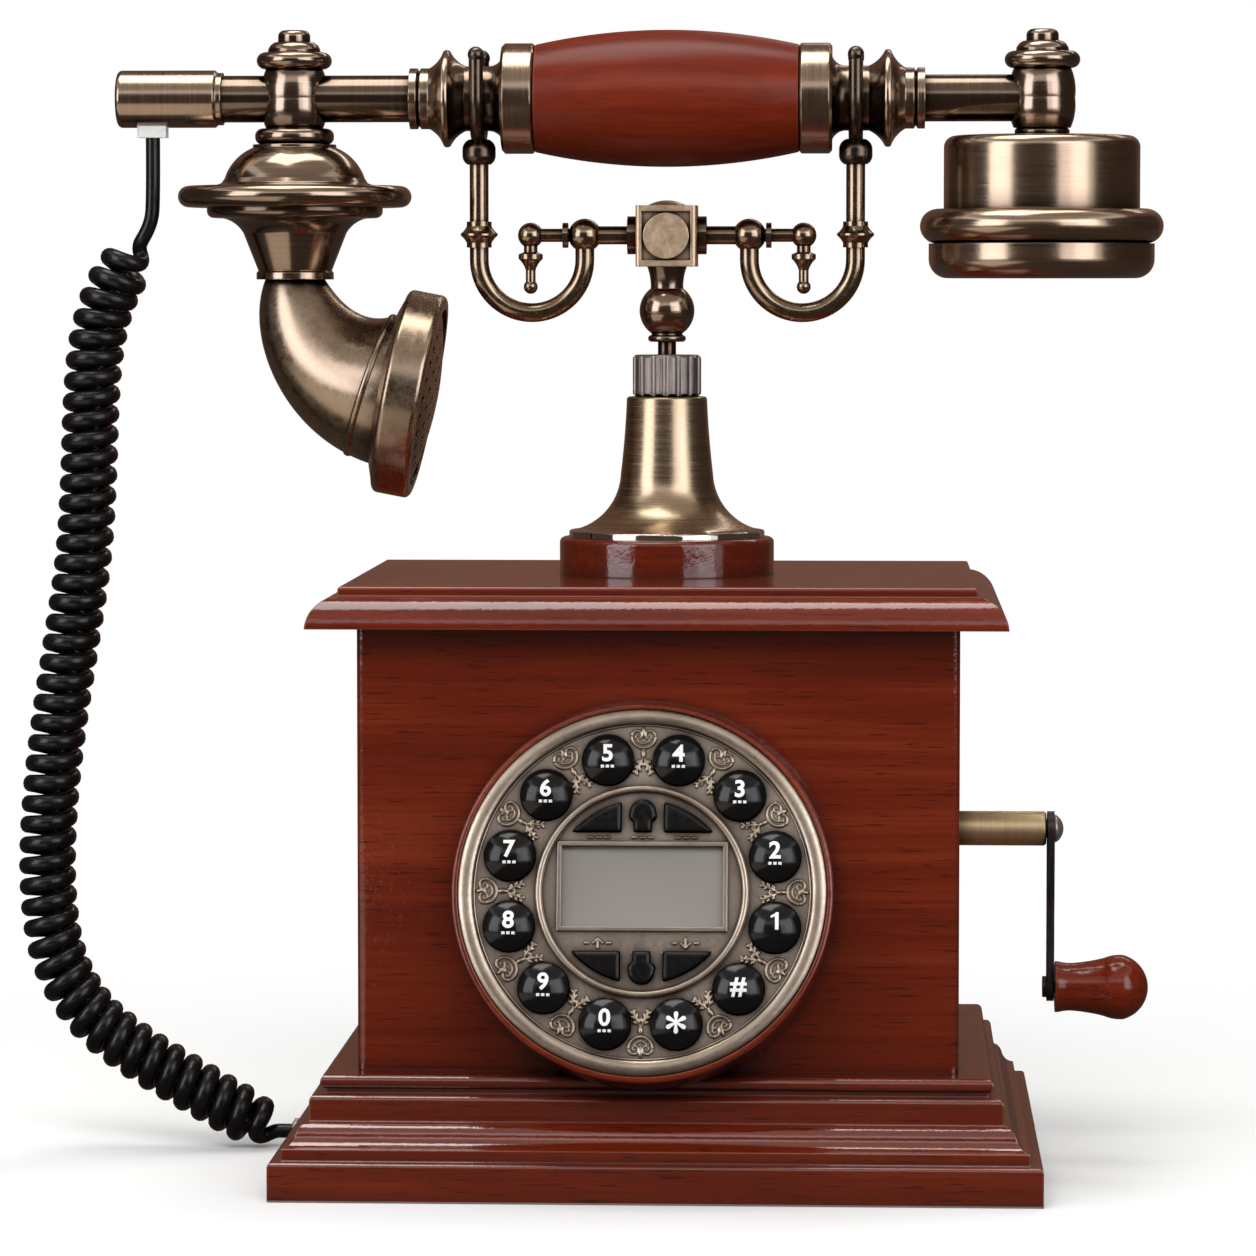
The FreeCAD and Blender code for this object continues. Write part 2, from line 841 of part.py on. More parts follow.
def cradle_post():
    body = new_body("cradle_post")
    half = size.block_width / 2
    top = size.block_bottom + size.block_width
    outline = rounded_rectangle(half, half, size.block_edge)
    pad(body, draw(new_sketch(body, "XY", size.block_bottom), outline), size.block_width)
    panel = rectangle(half - size.panel_border, half - size.panel_border, 0, size.block_bottom + half)
    for side in (-1, 1):
        pocket(body, draw(new_sketch(body, "XZ", half * side), panel), size.panel_depth, reverse=side < 0)
        floor = new_sketch(body, "XZ", (half - size.panel_depth) * side)
        boss = draw_circle(floor, 0, size.block_bottom + half, size.medallion_radius)
        pad(body, boss, size.medallion_rise, reverse=side < 0)
    cap, rise = size.cap_radius, size.cap_rise
    turn(body, [(0, top), (cap, top, dome(rise, cap)), (0, top + rise)])
    spigot = size.spigot_radius + size.fit_gap
    spigot_top = size.block_bottom + size.stem_spigot
    turn(body, [
        (0, size.block_bottom), (spigot, size.block_bottom), (spigot, spigot_top), (0, spigot_top),
    ], cut=True)
    return body


def cradle_arms():
    body = new_body("cradle_arm_right")
    half, middle, reach = size.block_width / 2, size.hook_inner, size.end_ball_reach
    big, small, rod, tip = size.arm_ball_radius, size.end_ball_radius, size.arm_radius, size.arm_tip_radius
    ring_start = middle + big
    turn(body, [
        (0, half), (size.arm_flange_radius, half), (size.arm_flange_radius, half + size.arm_flange),
        (rod, half + size.arm_flange), (rod, middle - root(big * big - rod * rod), ball(rod, big)),
        (big, middle, ball(tip, big)), (tip, middle + root(big * big - tip * tip)), (tip, ring_start),
        (size.arm_ring_radius, ring_start), (size.arm_ring_radius, ring_start + size.arm_ring),
        (tip, ring_start + size.arm_ring), (tip, reach - root(small * small - tip * tip), ball(tip, small)),
        (small, reach, QUARTER), (0, reach + small),
    ])
    place(body, z=size.arm_axis, rotation=ALONG_X)
    low, drop, neck = size.drop_bottom, size.drop_ball_radius, size.drop_neck_radius
    pendant = turned("pendant", [
        (0, low, QUARTER), (drop, low + drop, ball(neck, drop)),
        (neck, low + drop + root(drop * drop - neck * neck)), (neck, low + size.drop_stalk, -0.15),
        (size.drop_ring_radius, low + size.drop_cone),
        (size.drop_ring_radius, low + size.drop_cone + size.drop_ring),
        (size.drop_pin_radius, low + size.drop_shoulder),
        (size.drop_pin_radius, size.arm_axis), (0, size.arm_axis),
    ])
    place(pendant, x=size.end_ball_reach)
    whole = fuse("arm_with_pendant", body, pendant)
    depth = size.arm_ball_radius + size.edge
    socket = cylinder("hook_socket", size.hook_radius + size.fit_gap, depth)
    place(socket, x=size.hook_inner, z=size.arm_axis - depth)
    return mirrored_pair("cradle_arms", cut("cradle_arm", whole, socket))


def cradle_hooks():
    body = new_body("cradle_hook_right")
    span = size.hook_inner - size.hook_outer
    path = draw(new_sketch(body, "XZ"), [
        (span, size.arm_axis), (span, size.hook_bend_height, QUARTER),
        (span / 2, size.hook_bend_height + span / 2, QUARTER),
        (0, size.hook_bend_height), (0, size.fork_bottom),
    ], closed=False)
    sweep(body, draw_circle(new_sketch(body, "XY", size.arm_axis), span, 0, size.hook_radius), path)
    low, high = size.bead_middle - size.bead_height / 2, size.bead_middle + size.bead_height / 2
    foot, top, ring = low - size.bead_ring, high + size.bead_ring, size.bead_ring_radius
    edge = size.fine_edge / 2
    turn(body, [
        (0, foot), (ring, foot), (ring, low, -0.12), (size.bead_radius, size.bead_middle - edge),
        (size.bead_radius, size.bead_middle + edge, -0.12), (ring, high), (ring, top), (0, top),
    ])
    return mirrored_pair("cradle_hooks", place(body, x=size.hook_outer))


def cradle_forks():
    """Round yokes under the handset's necks, with ball tips, each on a knob over its hook."""
    body = new_body("cradle_fork_right")
    rod, tip_radius = size.fork_width / 2, size.fork_tip_radius
    reach = size.neck_radius + size.run_gap + rod
    axis, bottom, tip = size.handset_axis, size.handset_axis - reach, size.fork_top - tip_radius
    path = draw(new_sketch(body, "YZ"), [
        (-reach, tip), (-reach, axis, QUARTER), (0, bottom, QUARTER), (reach, axis), (reach, tip),
    ], closed=False)
    sweep(body, draw_circle(new_sketch(body, "XY", tip), 0, -reach, rod), path)
    tip_reach = reach + size.fork_tip_shift
    tips = [place(ball_solid("fork_tip", tip_radius), size.hook_outer, tip_reach * side, tip)
            for side in (-1, 1)]
    belly = size.knob_belly
    turn(body, [
        (0, size.fork_bottom), (size.hook_radius + size.fine_edge, size.fork_bottom, 0.3),
        (size.knob_radius, size.fork_bottom + belly), (size.knob_radius, bottom - belly, 0.3),
        (size.hook_radius + size.fit_gap, bottom), (0, bottom),
    ])
    yoke = fuse("cradle_fork", place(body, x=size.hook_outer), *tips)
    return mirrored_pair("cradle_forks", yoke)


# Handset, turned about its own line


def on_handset_line(body):
    return place(body, z=size.handset_axis, rotation=ALONG_X)


def grip():
    bore = size.tube_radius + size.fit_gap
    sagitta = (size.grip_middle_radius - size.grip_end_radius).value / size.grip_half.value
    return on_handset_line(turned("grip", [
        (bore, -size.grip_half), (size.grip_end_radius, -size.grip_half, sagitta),
        (size.grip_end_radius, size.grip_half), (bore, size.grip_half),
    ]))


def grip_ferrules():
    bore = size.tube_radius + size.fit_gap
    edge, fine = size.edge, size.fine_edge
    body = turned("grip_ferrule_right", [
        (bore, size.grip_half), (size.ferrule_radius - edge, size.grip_half),
        (size.ferrule_radius, size.grip_half + edge), (size.ferrule_radius, size.ferrule_end - edge),
        (size.ferrule_radius - edge, size.ferrule_end), (size.shoulder_radius, size.ferrule_end, -0.3),
        (size.neck_radius, size.neck_start), (size.neck_radius, size.neck_end, -0.18),
        (size.flare_radius, size.flare_reach - edge, 0.35),
        (size.flare_radius, size.flare_reach + edge, -0.18),
        (size.collar_end_radius, size.collar_start), (size.collar_end_radius, size.collar_step - fine),
        (size.collar_end_radius - edge, size.collar_step), (size.collar_end_radius, size.collar_step + fine),
        (size.collar_end_radius, size.collar_end), (bore, size.collar_end),
    ])
    return mirrored_pair("grip_ferrules", on_handset_line(body))


def handset_tube():
    """The tube that every handset piece is threaded on, from the cord cap to the ear post."""
    inner = size.tube_radius - size.tube_wall
    start, end = -(size.cap_start + size.tube_seat), size.post_reach + size.tube_seat
    return on_handset_line(turned("handset_tube", [
        (inner, start), (size.tube_radius, start), (size.tube_radius, end), (inner, end),
    ]))


def tee_post(label, x, ring_radius, ring, bore_end):
    """A barrel-shaped post on the tube, with a ring under it and a cross bore that ends at bore_end."""
    half, end, middle = size.barrel_half, size.barrel_end_radius, size.barrel_radius
    edge = ring * size.ring_round
    body = turned(label, [
        (0, -half - ring), (ring_radius - edge, -half - ring, QUARTER), (ring_radius, -half - ring + edge),
        (ring_radius, -half - edge, QUARTER), (ring_radius - edge, -half), (end, -half, 0.14),
        (middle, 0, 0.14), (end, half), (0, half),
    ])
    bore = draw_circle(new_sketch(body, "YZ", bore_end), 0, 0, size.tube_radius + size.fit_gap)
    pocket(body, bore, bore_end + size.barrel_radius * 2)
    socket = size.nut_pin_radius + size.fit_gap
    floor = half - size.nut_spigot
    turn(body, [(0, floor), (socket, floor), (socket, half), (0, half)], cut=True)
    return place(body, x, 0, size.handset_axis)


def mouth_post():
    through = size.barrel_radius * 2
    return tee_post("mouth_post", -size.post_reach, size.mouth_ring_radius, size.mouth_ring, through)


def ear_post():
    blind = size.tube_seat + size.fit_gap
    return tee_post("ear_post", size.post_reach, size.ear_ring_radius, size.ear_ring, blind)


def post_nuts():
    spigot = size.nut_pin_radius
    edge = size.disc_nut_height / 2
    top = size.disc_nut_height + size.acorn_height
    nuts = []
    for side in (-1, 1):
        nut = turned("post_nut", [
            (0, -size.nut_spigot), (spigot, -size.nut_spigot), (spigot, 0),
            (size.disc_nut_radius - edge, 0, QUARTER), (size.disc_nut_radius, edge, QUARTER),
            (size.disc_nut_radius - edge, size.disc_nut_height),
            (size.acorn_radius + size.acorn_cove, size.disc_nut_height, -QUARTER),
            (size.acorn_radius, size.disc_nut_height + size.acorn_cove),
            (size.acorn_radius, top - size.acorn_round, QUARTER),
            (size.acorn_radius - size.acorn_round, top), (0, top),
        ])
        nuts.append(place(nut, size.post_reach * side, 0, size.handset_axis + size.barrel_half))
    return group("post_nuts", *nuts)


def cord_cap():
    bore = size.tube_radius + size.fit_gap
    seat = size.cap_start + size.tube_seat + size.fit_gap
    inner = size.tube_radius - size.tube_wall
    edge = size.cap_edge
    body = turned("cord_cap_body", [
        (0, -size.cap_end), (size.cap_outer_radius - edge, -size.cap_end, QUARTER),
        (size.cap_outer_radius, edge - size.cap_end), (size.cap_outer_radius, -size.cap_start),
        (size.cap_lip_radius, size.cap_neck - size.cap_start), (size.cap_lip_radius, -size.cap_lip_start),
        (bore, -size.cap_lip_start), (bore, -seat), (inner, -seat), (inner, size.cap_wall - size.cap_end),
        (0, size.cap_wall - size.cap_end),
    ])
    on_handset_line(body)
    gap = size.fit_gap
    port = block(
        "clamp_port",
        (-size.cord_exit - size.clamp_width / 2 - gap, -size.clamp_depth / 2 - gap,
         size.handset_axis - size.cap_outer_radius - size.edge),
        (size.clamp_width / 2 + gap - size.cord_exit, size.clamp_depth / 2 + gap, size.handset_axis),
    )
    return cut("cord_cap", body, port)


CLAMP_BOTTOM = size.handset_axis - size.cap_outer_radius - size.clamp_drop


def cord_clamp():
    """The clear clamp that holds the cord's end in the cap."""
    low = CLAMP_BOTTOM
    return block(
        "cord_clamp",
        (-size.cord_exit - size.clamp_width / 2, -size.clamp_depth / 2, low),
        (size.clamp_width / 2 - size.cord_exit, size.clamp_depth / 2, size.handset_axis - size.cap_wall),
    )


MOUTH_TOP = -size.barrel_half - size.mouth_ring
BRIM_TOP = MOUTH_TOP - size.dome_drop - size.dome_cove
UNDER_TOP = BRIM_TOP - size.brim_height
CONE_TOP = UNDER_TOP - size.under_drop
CONE_BOTTOM = CONE_TOP - size.cone_drop
HORN_TOP = CONE_BOTTOM - size.cone_ring


def mouth_bell():
    edge = size.brim_height / 2
    bore = size.horn_bore
    body = turned("mouth_bell", [
        (bore, HORN_TOP), (size.cone_end_radius, HORN_TOP),
        (size.cone_end_radius, CONE_BOTTOM - size.fine_edge),
        (size.cone_end_radius - size.fine_edge, CONE_BOTTOM), (size.cone_radius, CONE_TOP, -0.3),
        (size.under_radius - size.under_round, UNDER_TOP - size.under_lip, QUARTER),
        (size.under_radius, UNDER_TOP - size.under_lip + size.under_round), (size.under_radius, UNDER_TOP),
        (size.brim_radius - edge, UNDER_TOP, QUARTER),
        (size.brim_radius, UNDER_TOP + edge, QUARTER), (size.brim_radius - edge, BRIM_TOP, -0.15),
        (size.dome_radius + size.edge, BRIM_TOP + size.edge),
        (size.dome_radius, MOUTH_TOP - size.dome_drop, 0.22),
        (size.bell_top_radius, MOUTH_TOP - size.edge), (size.bell_top_radius, MOUTH_TOP), (bore, MOUTH_TOP),
    ])
    return place(body, -size.post_reach, 0, size.handset_axis)


def horn_section(label, share, radius):
    """A circle on the horn's bend, a share of the way round it."""
    ring = doc.addObject("Part::Circle", label)
    bind(ring, "Radius", radius)
    turn_here = size.horn_turn * share
    x = size.horn_bend - size.horn_bend * cosine(turn_here) - size.post_reach
    z = size.handset_axis + HORN_TOP - size.horn_bend * sine(turn_here)
    place(ring, x, 0, z, Rotation(Vector(0, 1, 0), -turn_here.value))
    bind(ring, "Placement.Rotation.Angle", -turn_here)
    return ring


def horn_loft(label, grow):
    early = (size.horn_start_radius + size.horn_mid_radius + size.edge) / 2
    late = (size.horn_mid_radius + size.horn_end_radius + size.fine_edge) / 2
    radii = (size.horn_start_radius, early, size.horn_mid_radius, late, size.horn_end_radius)
    loft = doc.addObject("Part::Loft", label)
    loft.Sections = [horn_section(f"{label}_{index}", index / 4, radius + grow)
                     for index, radius in enumerate(radii)]
    loft.Solid = True
    return loft


def mouth_elbow():
    outside = horn_loft("horn_outside", as_size(0))
    return cut("mouth_elbow", outside, horn_loft("horn_inside", -size.horn_wall))


def on_mouth_line(body):
    """Put a turned piece on the end of the horn, its axis along the horn's last direction."""
    turn_here = size.horn_turn
    x = size.horn_bend - size.horn_bend * cosine(turn_here) - size.post_reach
    z = size.handset_axis + HORN_TOP - size.horn_bend * sine(turn_here)
    place(body, x, 0, z, Rotation(Vector(0, 1, 0), 180 - turn_here.value))
    bind(body, "Placement.Rotation.Angle", 180 - turn_here)
    return body


GRILLE_FLOOR = size.mouth_rim_height - size.grille_set


def mouthpiece():
    """The rolled ring on the horn's mouth, open in front for the grille."""
    rim, height, seat = size.mouth_rim_radius, size.mouth_rim_height, size.grille_radius + size.fit_gap
    edge, back = size.mouth_rim_round, size.mouth_rim_back
    bore = size.horn_end_radius - size.horn_wall
    return on_mouth_line(turned("mouthpiece", [
        (bore, 0), (size.horn_end_radius + back, 0), (rim - edge, back, QUARTER), (rim, back + edge),
        (rim, height - edge, QUARTER), (rim - edge, height),
        (seat, height), (seat, GRILLE_FLOOR), (bore, GRILLE_FLOOR),
    ]))


def mouth_grille():
    """A thin pierced dome."""
    floor, radius, wall, rise = GRILLE_FLOOR, size.grille_radius, size.grille_wall, size.grille_rise
    bulge = dome(rise, radius)
    body = turned("mouth_grille", [
        (0, floor + rise, -bulge), (radius - wall, floor), (radius, floor), (radius, floor + wall, bulge),
        (0, floor + wall + rise),
    ])
    pierce(body, floor + wall + rise, wall + rise * 2, size.grille_hole, size.grille_pitch, 4)
    return on_mouth_line(body)


def pierce(body, top, depth, radius, pitch, rings):
    """Drill a middle hole and rings of six, twelve and more holes, down from a height."""
    pocket(body, draw_circle(new_sketch(body, "XY", top), 0, 0, radius), depth)
    for ring in range(1, rings + 1):
        hole = pocket(body, draw_circle(new_sketch(body, "XY", top), pitch * ring, 0, radius), depth)
        repeat_round(body, hole, 6 * ring)


EAR_TOP = -size.barrel_half - size.ear_ring
DRUM_BOTTOM = EAR_TOP - size.drum_height
TORUS_BOTTOM = DRUM_BOTTOM - size.ear_torus_height
EAR_BOTTOM = TORUS_BOTTOM - size.ear_cap_height
CAP_SPIGOT_TOP = TORUS_BOTTOM + size.ear_cap_spigot


def ear_shell():
    wall = size.ear_wall
    edge = size.ear_torus_height / 2
    body = turned("ear_shell", [
        (size.horn_bore, EAR_TOP), (size.horn_bore, EAR_TOP - wall),
        (size.drum_radius - wall, EAR_TOP - wall), (size.drum_radius - wall, TORUS_BOTTOM),
        (size.ear_torus_radius - edge, TORUS_BOTTOM, QUARTER),
        (size.ear_torus_radius, TORUS_BOTTOM + edge, QUARTER), (size.ear_torus_radius - edge, DRUM_BOTTOM),
        (size.drum_radius, DRUM_BOTTOM), (size.drum_radius, EAR_TOP - size.drum_round, QUARTER),
        (size.drum_radius - size.drum_round, EAR_TOP),
    ])
    return place(body, size.post_reach, 0, size.handset_axis)


def ear_cap():
    """The screwed cap, dished and pierced underneath, with a spigot up inside the shell."""
    wall, fit = size.ear_wall, size.fit_gap
    outer = size.drum_radius - size.ear_wall - fit
    body = turned("ear_cap", [
        (0, EAR_BOTTOM + size.ear_dish), (size.ear_cap_radius - size.ear_cap_round, EAR_BOTTOM, QUARTER),
        (size.ear_cap_radius, EAR_BOTTOM + size.ear_cap_round), (size.ear_cap_radius, TORUS_BOTTOM),
        (outer, TORUS_BOTTOM), (outer, CAP_SPIGOT_TOP), (outer - wall, CAP_SPIGOT_TOP),
        (outer - wall, EAR_BOTTOM + size.ear_dish + wall), (0, EAR_BOTTOM + size.ear_dish + wall),
    ])
    floor = EAR_BOTTOM + size.ear_dish + wall
    pierce(body, floor, size.ear_dish + wall * 2, size.ear_hole, size.ear_hole_pitch, 2)
    return place(body, size.post_reach, 0, size.handset_axis)


def handset_capsules():
    """The receiver on the ear cap's spigot and the microphone behind the grille."""
    seat, edge = CAP_SPIGOT_TOP, size.edge
    rim, top = seat + size.receiver_rim, seat + size.receiver_height
    receiver = turned("receiver", [
        (0, seat), (size.receiver_radius, seat), (size.receiver_radius, rim - edge, QUARTER),
        (size.receiver_radius - edge, rim), (size.magnet_radius, rim), (size.magnet_radius, top), (0, top),
    ])
    place(receiver, size.post_reach, 0, size.handset_axis)
    bore = size.horn_end_radius - size.horn_wall
    carrier = GRILLE_FLOOR - size.mic_carrier
    bottom = GRILLE_FLOOR - size.mic_height
    microphone = turned("microphone", [
        (0, bottom), (size.mic_radius, bottom), (size.mic_radius, carrier), (bore - size.fit_gap, carrier),
        (bore - size.fit_gap, GRILLE_FLOOR), (0, GRILLE_FLOOR),
    ])
    return group("handset_capsules", receiver, on_mouth_line(microphone))


# Crank


def crank_bush():
    """The bearing sleeve, held by a flange inside the wall."""
    inside = size.box_width / 2 - size.wall
    bore = size.shaft_radius + size.fit_gap
    return place(turned("crank_bush", [
        (bore, inside - size.sleeve_flange), (size.sleeve_flange_radius, inside - size.sleeve_flange),
        (size.sleeve_flange_radius, inside), (size.sleeve_radius, inside),
        (size.sleeve_radius, size.sleeve_end - size.fine_edge),
        (size.sleeve_radius - size.fine_edge, size.sleeve_end), (bore, size.sleeve_end),
    ]), z=size.crank_axis, rotation=ALONG_X)


ARM_START = size.sleeve_end + size.run_gap
ARM_END = ARM_START + size.crank_arm_wall


def crank_shaft():
    """The shaft with its retaining head inside and its round screw head outside."""
    inside = size.box_width / 2 - size.wall - size.sleeve_flange - size.run_gap
    return place(turned("crank_shaft", [
        (0, inside - size.sleeve_flange), (size.shaft_head, inside - size.sleeve_flange),
        (size.shaft_head, inside), (size.shaft_radius, inside),
        (size.shaft_radius, ARM_END), (size.screw_radius, ARM_END),
        (size.screw_radius, ARM_END + size.fine_edge, dome(size.screw_height, size.screw_radius)),
        (0, ARM_END + size.fine_edge + size.screw_height),
    ]), z=size.crank_axis, rotation=ALONG_X)


def crank_arm():
    body = new_body("crank_arm")
    radius, throw = size.crank_arm_radius, size.crank_throw
    waist = radius - size.edge
    bar = draw(new_sketch(body, "YZ", ARM_START), [
        (-radius, 0), (-waist, -throw / 2), (-waist, -throw, QUARTER), (0, -throw - waist, QUARTER),
        (waist, -throw), (waist, -throw / 2), (radius, 0, QUARTER), (0, radius, QUARTER),
    ])
    pad(body, bar, size.crank_arm_wall)
    hub = draw_circle(new_sketch(body, "YZ", ARM_START), 0, 0, size.shaft_radius + size.fit_gap)
    pocket(body, hub, size.crank_arm_wall, reverse=True)
    head = draw_circle(new_sketch(body, "YZ", ARM_START), 0, -throw, size.rivet_head_radius)
    pad(body, head, size.rivet_head, reverse=True)
    pin = draw_circle(new_sketch(body, "YZ", ARM_END), 0, -throw, size.rivet_radius)
    pad(body, pin, size.rivet_length)
    return place(body, z=size.crank_axis)


def crank_knob():
    start = ARM_END + size.run_gap
    end = start + size.crank_knob_length
    bore = size.rivet_radius + size.fit_gap
    depth = ARM_END + size.rivet_length + size.run_gap
    neck = start + size.crank_knob_waist
    widest = end - size.crank_knob_nose
    return place(turned("crank_knob", [
        (bore, start), (size.crank_knob_foot, start), (size.crank_knob_foot, start + size.edge, -0.1),
        (size.crank_knob_neck, neck, -0.04),
        (size.crank_knob_radius - size.edge, neck + size.crank_knob_swell, 0.12),
        (size.crank_knob_radius, widest, dome(size.crank_knob_nose, size.crank_knob_radius)), (0, end),
        (0, depth), (bore, depth),
    ]), z=size.crank_axis - size.crank_throw, rotation=ALONG_X)


# Dial, built flat and then leaned back on the front of the cabinet
DIAL_Y = -BOX_FRONT - size.dial_top_reach - size.dial_radius * sine(size.dial_tilt)
PLATE_BACK = -size.dial_recess
PLATE_FACE = PLATE_BACK + size.plate_wall
FLANGE_BOTTOM = PLATE_BACK - size.fit_gap - size.key_flange_height
BOARD_FACE = PLATE_BACK - size.board_ledge + size.board_wall
DIGITS = ("1", "2", "3", "4", "5", "6", "7", "8", "9", "0", "star", "hash")


def on_dial(body):
    lean = Rotation(Vector(1, 0, 0), 90 - size.dial_tilt.value)
    place(body, size.dial_offset, DIAL_Y, size.dial_height, lean)
    bind(body, "Placement.Rotation.Angle", 90 - size.dial_tilt)
    return body


def dial_housing():
    """A round wooden block, bored in steps and cut where it meets the cabinet and the plinth."""
    depth = size.dial_radius
    seat = size.dial_radius - size.dial_lip
    ledge = seat - size.dial_ledge
    hollow = size.dial_hollow
    board_back = PLATE_BACK - size.board_ledge
    edge = size.dial_lip / 2
    body = on_dial(turned("dial_block", [
        (hollow, -depth), (size.dial_radius, -depth), (size.dial_radius, -edge, QUARTER),
        (size.dial_radius - edge, 0), (seat, 0), (seat, PLATE_BACK), (ledge, PLATE_BACK),
        (ledge, board_back), (hollow, board_back),
    ]))
    reach = size.plinth_width / 2
    panel = block("behind_panel", (-reach, -BOX_FRONT, 0), (reach, BOX_FRONT, LID_TOP))
    front = size.nosing_inset - size.plinth_depth / 2 - size.nosing_reach
    under = block("under_dial", (-reach, front, 0), (reach, BOX_FRONT, size.plinth_top + size.fit_gap))
    return cut("dial_housing", body, panel, under)


def wedge_key(side_x, side_y, grow=0):
    """A key outline between a straight side, the display's row and the inner ring."""
    radius = size.function_radius + grow
    near, row = size.function_side - grow, size.function_row - grow
    across, up = root(radius * radius - row * row), root(radius * radius - near * near)
    sweep = math.atan2(number(up), number(near)) - math.atan2(number(row), number(across))
    points = [(near, row), (across, row, math.tan(sweep / 4)), (near, up)]
    flip = side_x * side_y < 0
    return [(x * side_x, y * side_y, *(-bulge if flip else bulge for bulge in rest))
            for x, y, *rest in points]


def bulb_key(side_y, grow=0):
    """A key outline with a round head and a narrower foot."""
    head, foot, row = size.bulb_radius + grow, size.bulb_foot + grow, size.function_row - grow
    shoulder = size.bulb_reach - root(head * head - foot * foot)
    curve, quarter = 0.5 * side_y, QUARTER * side_y
    middle, end = size.bulb_reach * side_y, (size.bulb_reach + head) * side_y
    return [(-foot, row * side_y), (foot, row * side_y), (foot, shoulder * side_y, curve),
            (head, middle, quarter), (0, end, quarter), (-head, middle, curve), (-foot, shoulder * side_y)]


FUNCTION_KEYS = {
    "top_left_key": lambda grow: wedge_key(-1, 1, grow),
    "top_middle_key": lambda grow: bulb_key(1, grow),
    "top_right_key": lambda grow: wedge_key(1, 1, grow),
    "bottom_left_key": lambda grow: wedge_key(-1, -1, grow),
    "bottom_middle_key": lambda grow: bulb_key(-1, grow),
    "bottom_right_key": lambda grow: wedge_key(1, -1, grow),
}


def dial_plate():
    rim = size.dial_radius - size.dial_lip - size.fit_gap
    groove = rim - size.plate_rim
    ring_out, ring_in = size.inner_ring_radius, size.inner_ring_radius - size.inner_ring_width
    ring_top = PLATE_FACE + size.inner_ring_rise
    crest = PLATE_BACK + size.plate_rim_rise
    body = turned("dial_plate", [
        (0, PLATE_BACK), (rim, PLATE_BACK), (rim, crest - size.edge, QUARTER), (rim - size.edge, crest),
        (groove + size.edge, crest - size.fine_edge), (groove, PLATE_FACE), (ring_out, PLATE_FACE),
        (ring_out - size.fit_gap, ring_top), (ring_in + size.fit_gap, ring_top),
        (ring_in, PLATE_FACE), (0, PLATE_FACE),
    ])
    frame_x = size.window_width / 2 + size.window_frame
    frame_y = size.window_height / 2 + size.window_frame
    pad(body, draw(new_sketch(body, "XY", PLATE_BACK), rectangle(frame_x, frame_y, 0, size.window_rise)),
        size.plate_wall + size.window_frame_rise)
    through = size.plate_wall + size.plate_rim_rise
    pocket(body, draw(new_sketch(body, "XY", PLATE_BACK), rectangle(
        size.window_width / 2, size.window_height / 2, 0, size.window_rise)), through, reverse=True)
    for outline in FUNCTION_KEYS.values():
        pocket(body, draw(new_sketch(body, "XY", PLATE_BACK), outline(size.run_gap)), through, reverse=True)
    spread = math.radians(15)
    hole = pocket(body, draw_circle(new_sketch(body, "XY", PLATE_BACK), size.key_circle * math.cos(spread),
                                    size.key_circle * math.sin(spread), size.key_radius + size.run_gap),
                  through, reverse=True)
    repeat_round(body, hole, 12)
    return on_dial(body)


def display():
    half_x = size.window_width / 2 + size.display_border
    half_y = size.window_height / 2 + size.display_border
    body = new_body("display")
    pad(body, draw(new_sketch(body, "XY", BOARD_FACE), rectangle(half_x, half_y, 0, size.window_rise)),
        PLATE_BACK - BOARD_FACE)
    return on_dial(body)


def keypad_board():
    body = new_body("keypad_board")
    radius = size.dial_radius - size.dial_lip - size.dial_ledge - size.run_gap
    pad(body, draw_circle(new_sketch(body, "XY", BOARD_FACE), 0, 0, radius), size.board_wall, reverse=True)
    spread = math.radians(15)
    dome = pad(body, draw_circle(new_sketch(body, "XY", BOARD_FACE), size.key_circle * math.cos(spread),
                                 size.key_circle * math.sin(spread), size.switch_radius), size.switch_height)
    repeat_round(body, dome, 12)
    return on_dial(body)


def dial_keys():
    """Twelve domed keys round the dial, the first just below the right-hand side."""
    keys = []
    radius, flange = size.key_radius, size.key_radius + size.key_flange
    shoulder = PLATE_FACE + size.key_side
    for index, digit in enumerate(DIGITS):
        angle = math.radians(30 * index - 15)
        key = new_body(f"key_{digit}")
        turn(key, [
            (0, FLANGE_BOTTOM), (flange, FLANGE_BOTTOM), (flange, FLANGE_BOTTOM + size.key_flange_height),
            (radius, FLANGE_BOTTOM + size.key_flange_height),
            (radius, shoulder, dome(size.key_dome, radius)), (0, shoulder + size.key_dome),
        ])
        across, up = size.key_circle * math.cos(angle), size.key_circle * math.sin(angle)
        on_dial(key)
        place_on_dial(key, across, up)
        keys.append(key)
    return keys


def place_on_dial(body, across, up):
    """Move a piece across the dial's own face."""
    bind(body, "Placement.Base.x", size.dial_offset + across)
    bind(body, "Placement.Base.y", DIAL_Y + up * sine(size.dial_tilt))
    bind(body, "Placement.Base.z", size.dial_height + up * cosine(size.dial_tilt))


def function_keys():
    keys = []
    for label, outline in FUNCTION_KEYS.items():
        key = new_body(label)
        flange = draw(new_sketch(key, "XY", FLANGE_BOTTOM), outline(size.key_flange))
        pad(key, flange, size.key_flange_height)
        button = draw(new_sketch(key, "XY", FLANGE_BOTTOM), outline(as_size(0)))
        pad(key, button, PLATE_FACE + size.function_rise - FLANGE_BOTTOM)
        keys.append(on_dial(key))
    return keys


# Inside the cabinet, sockets and plug


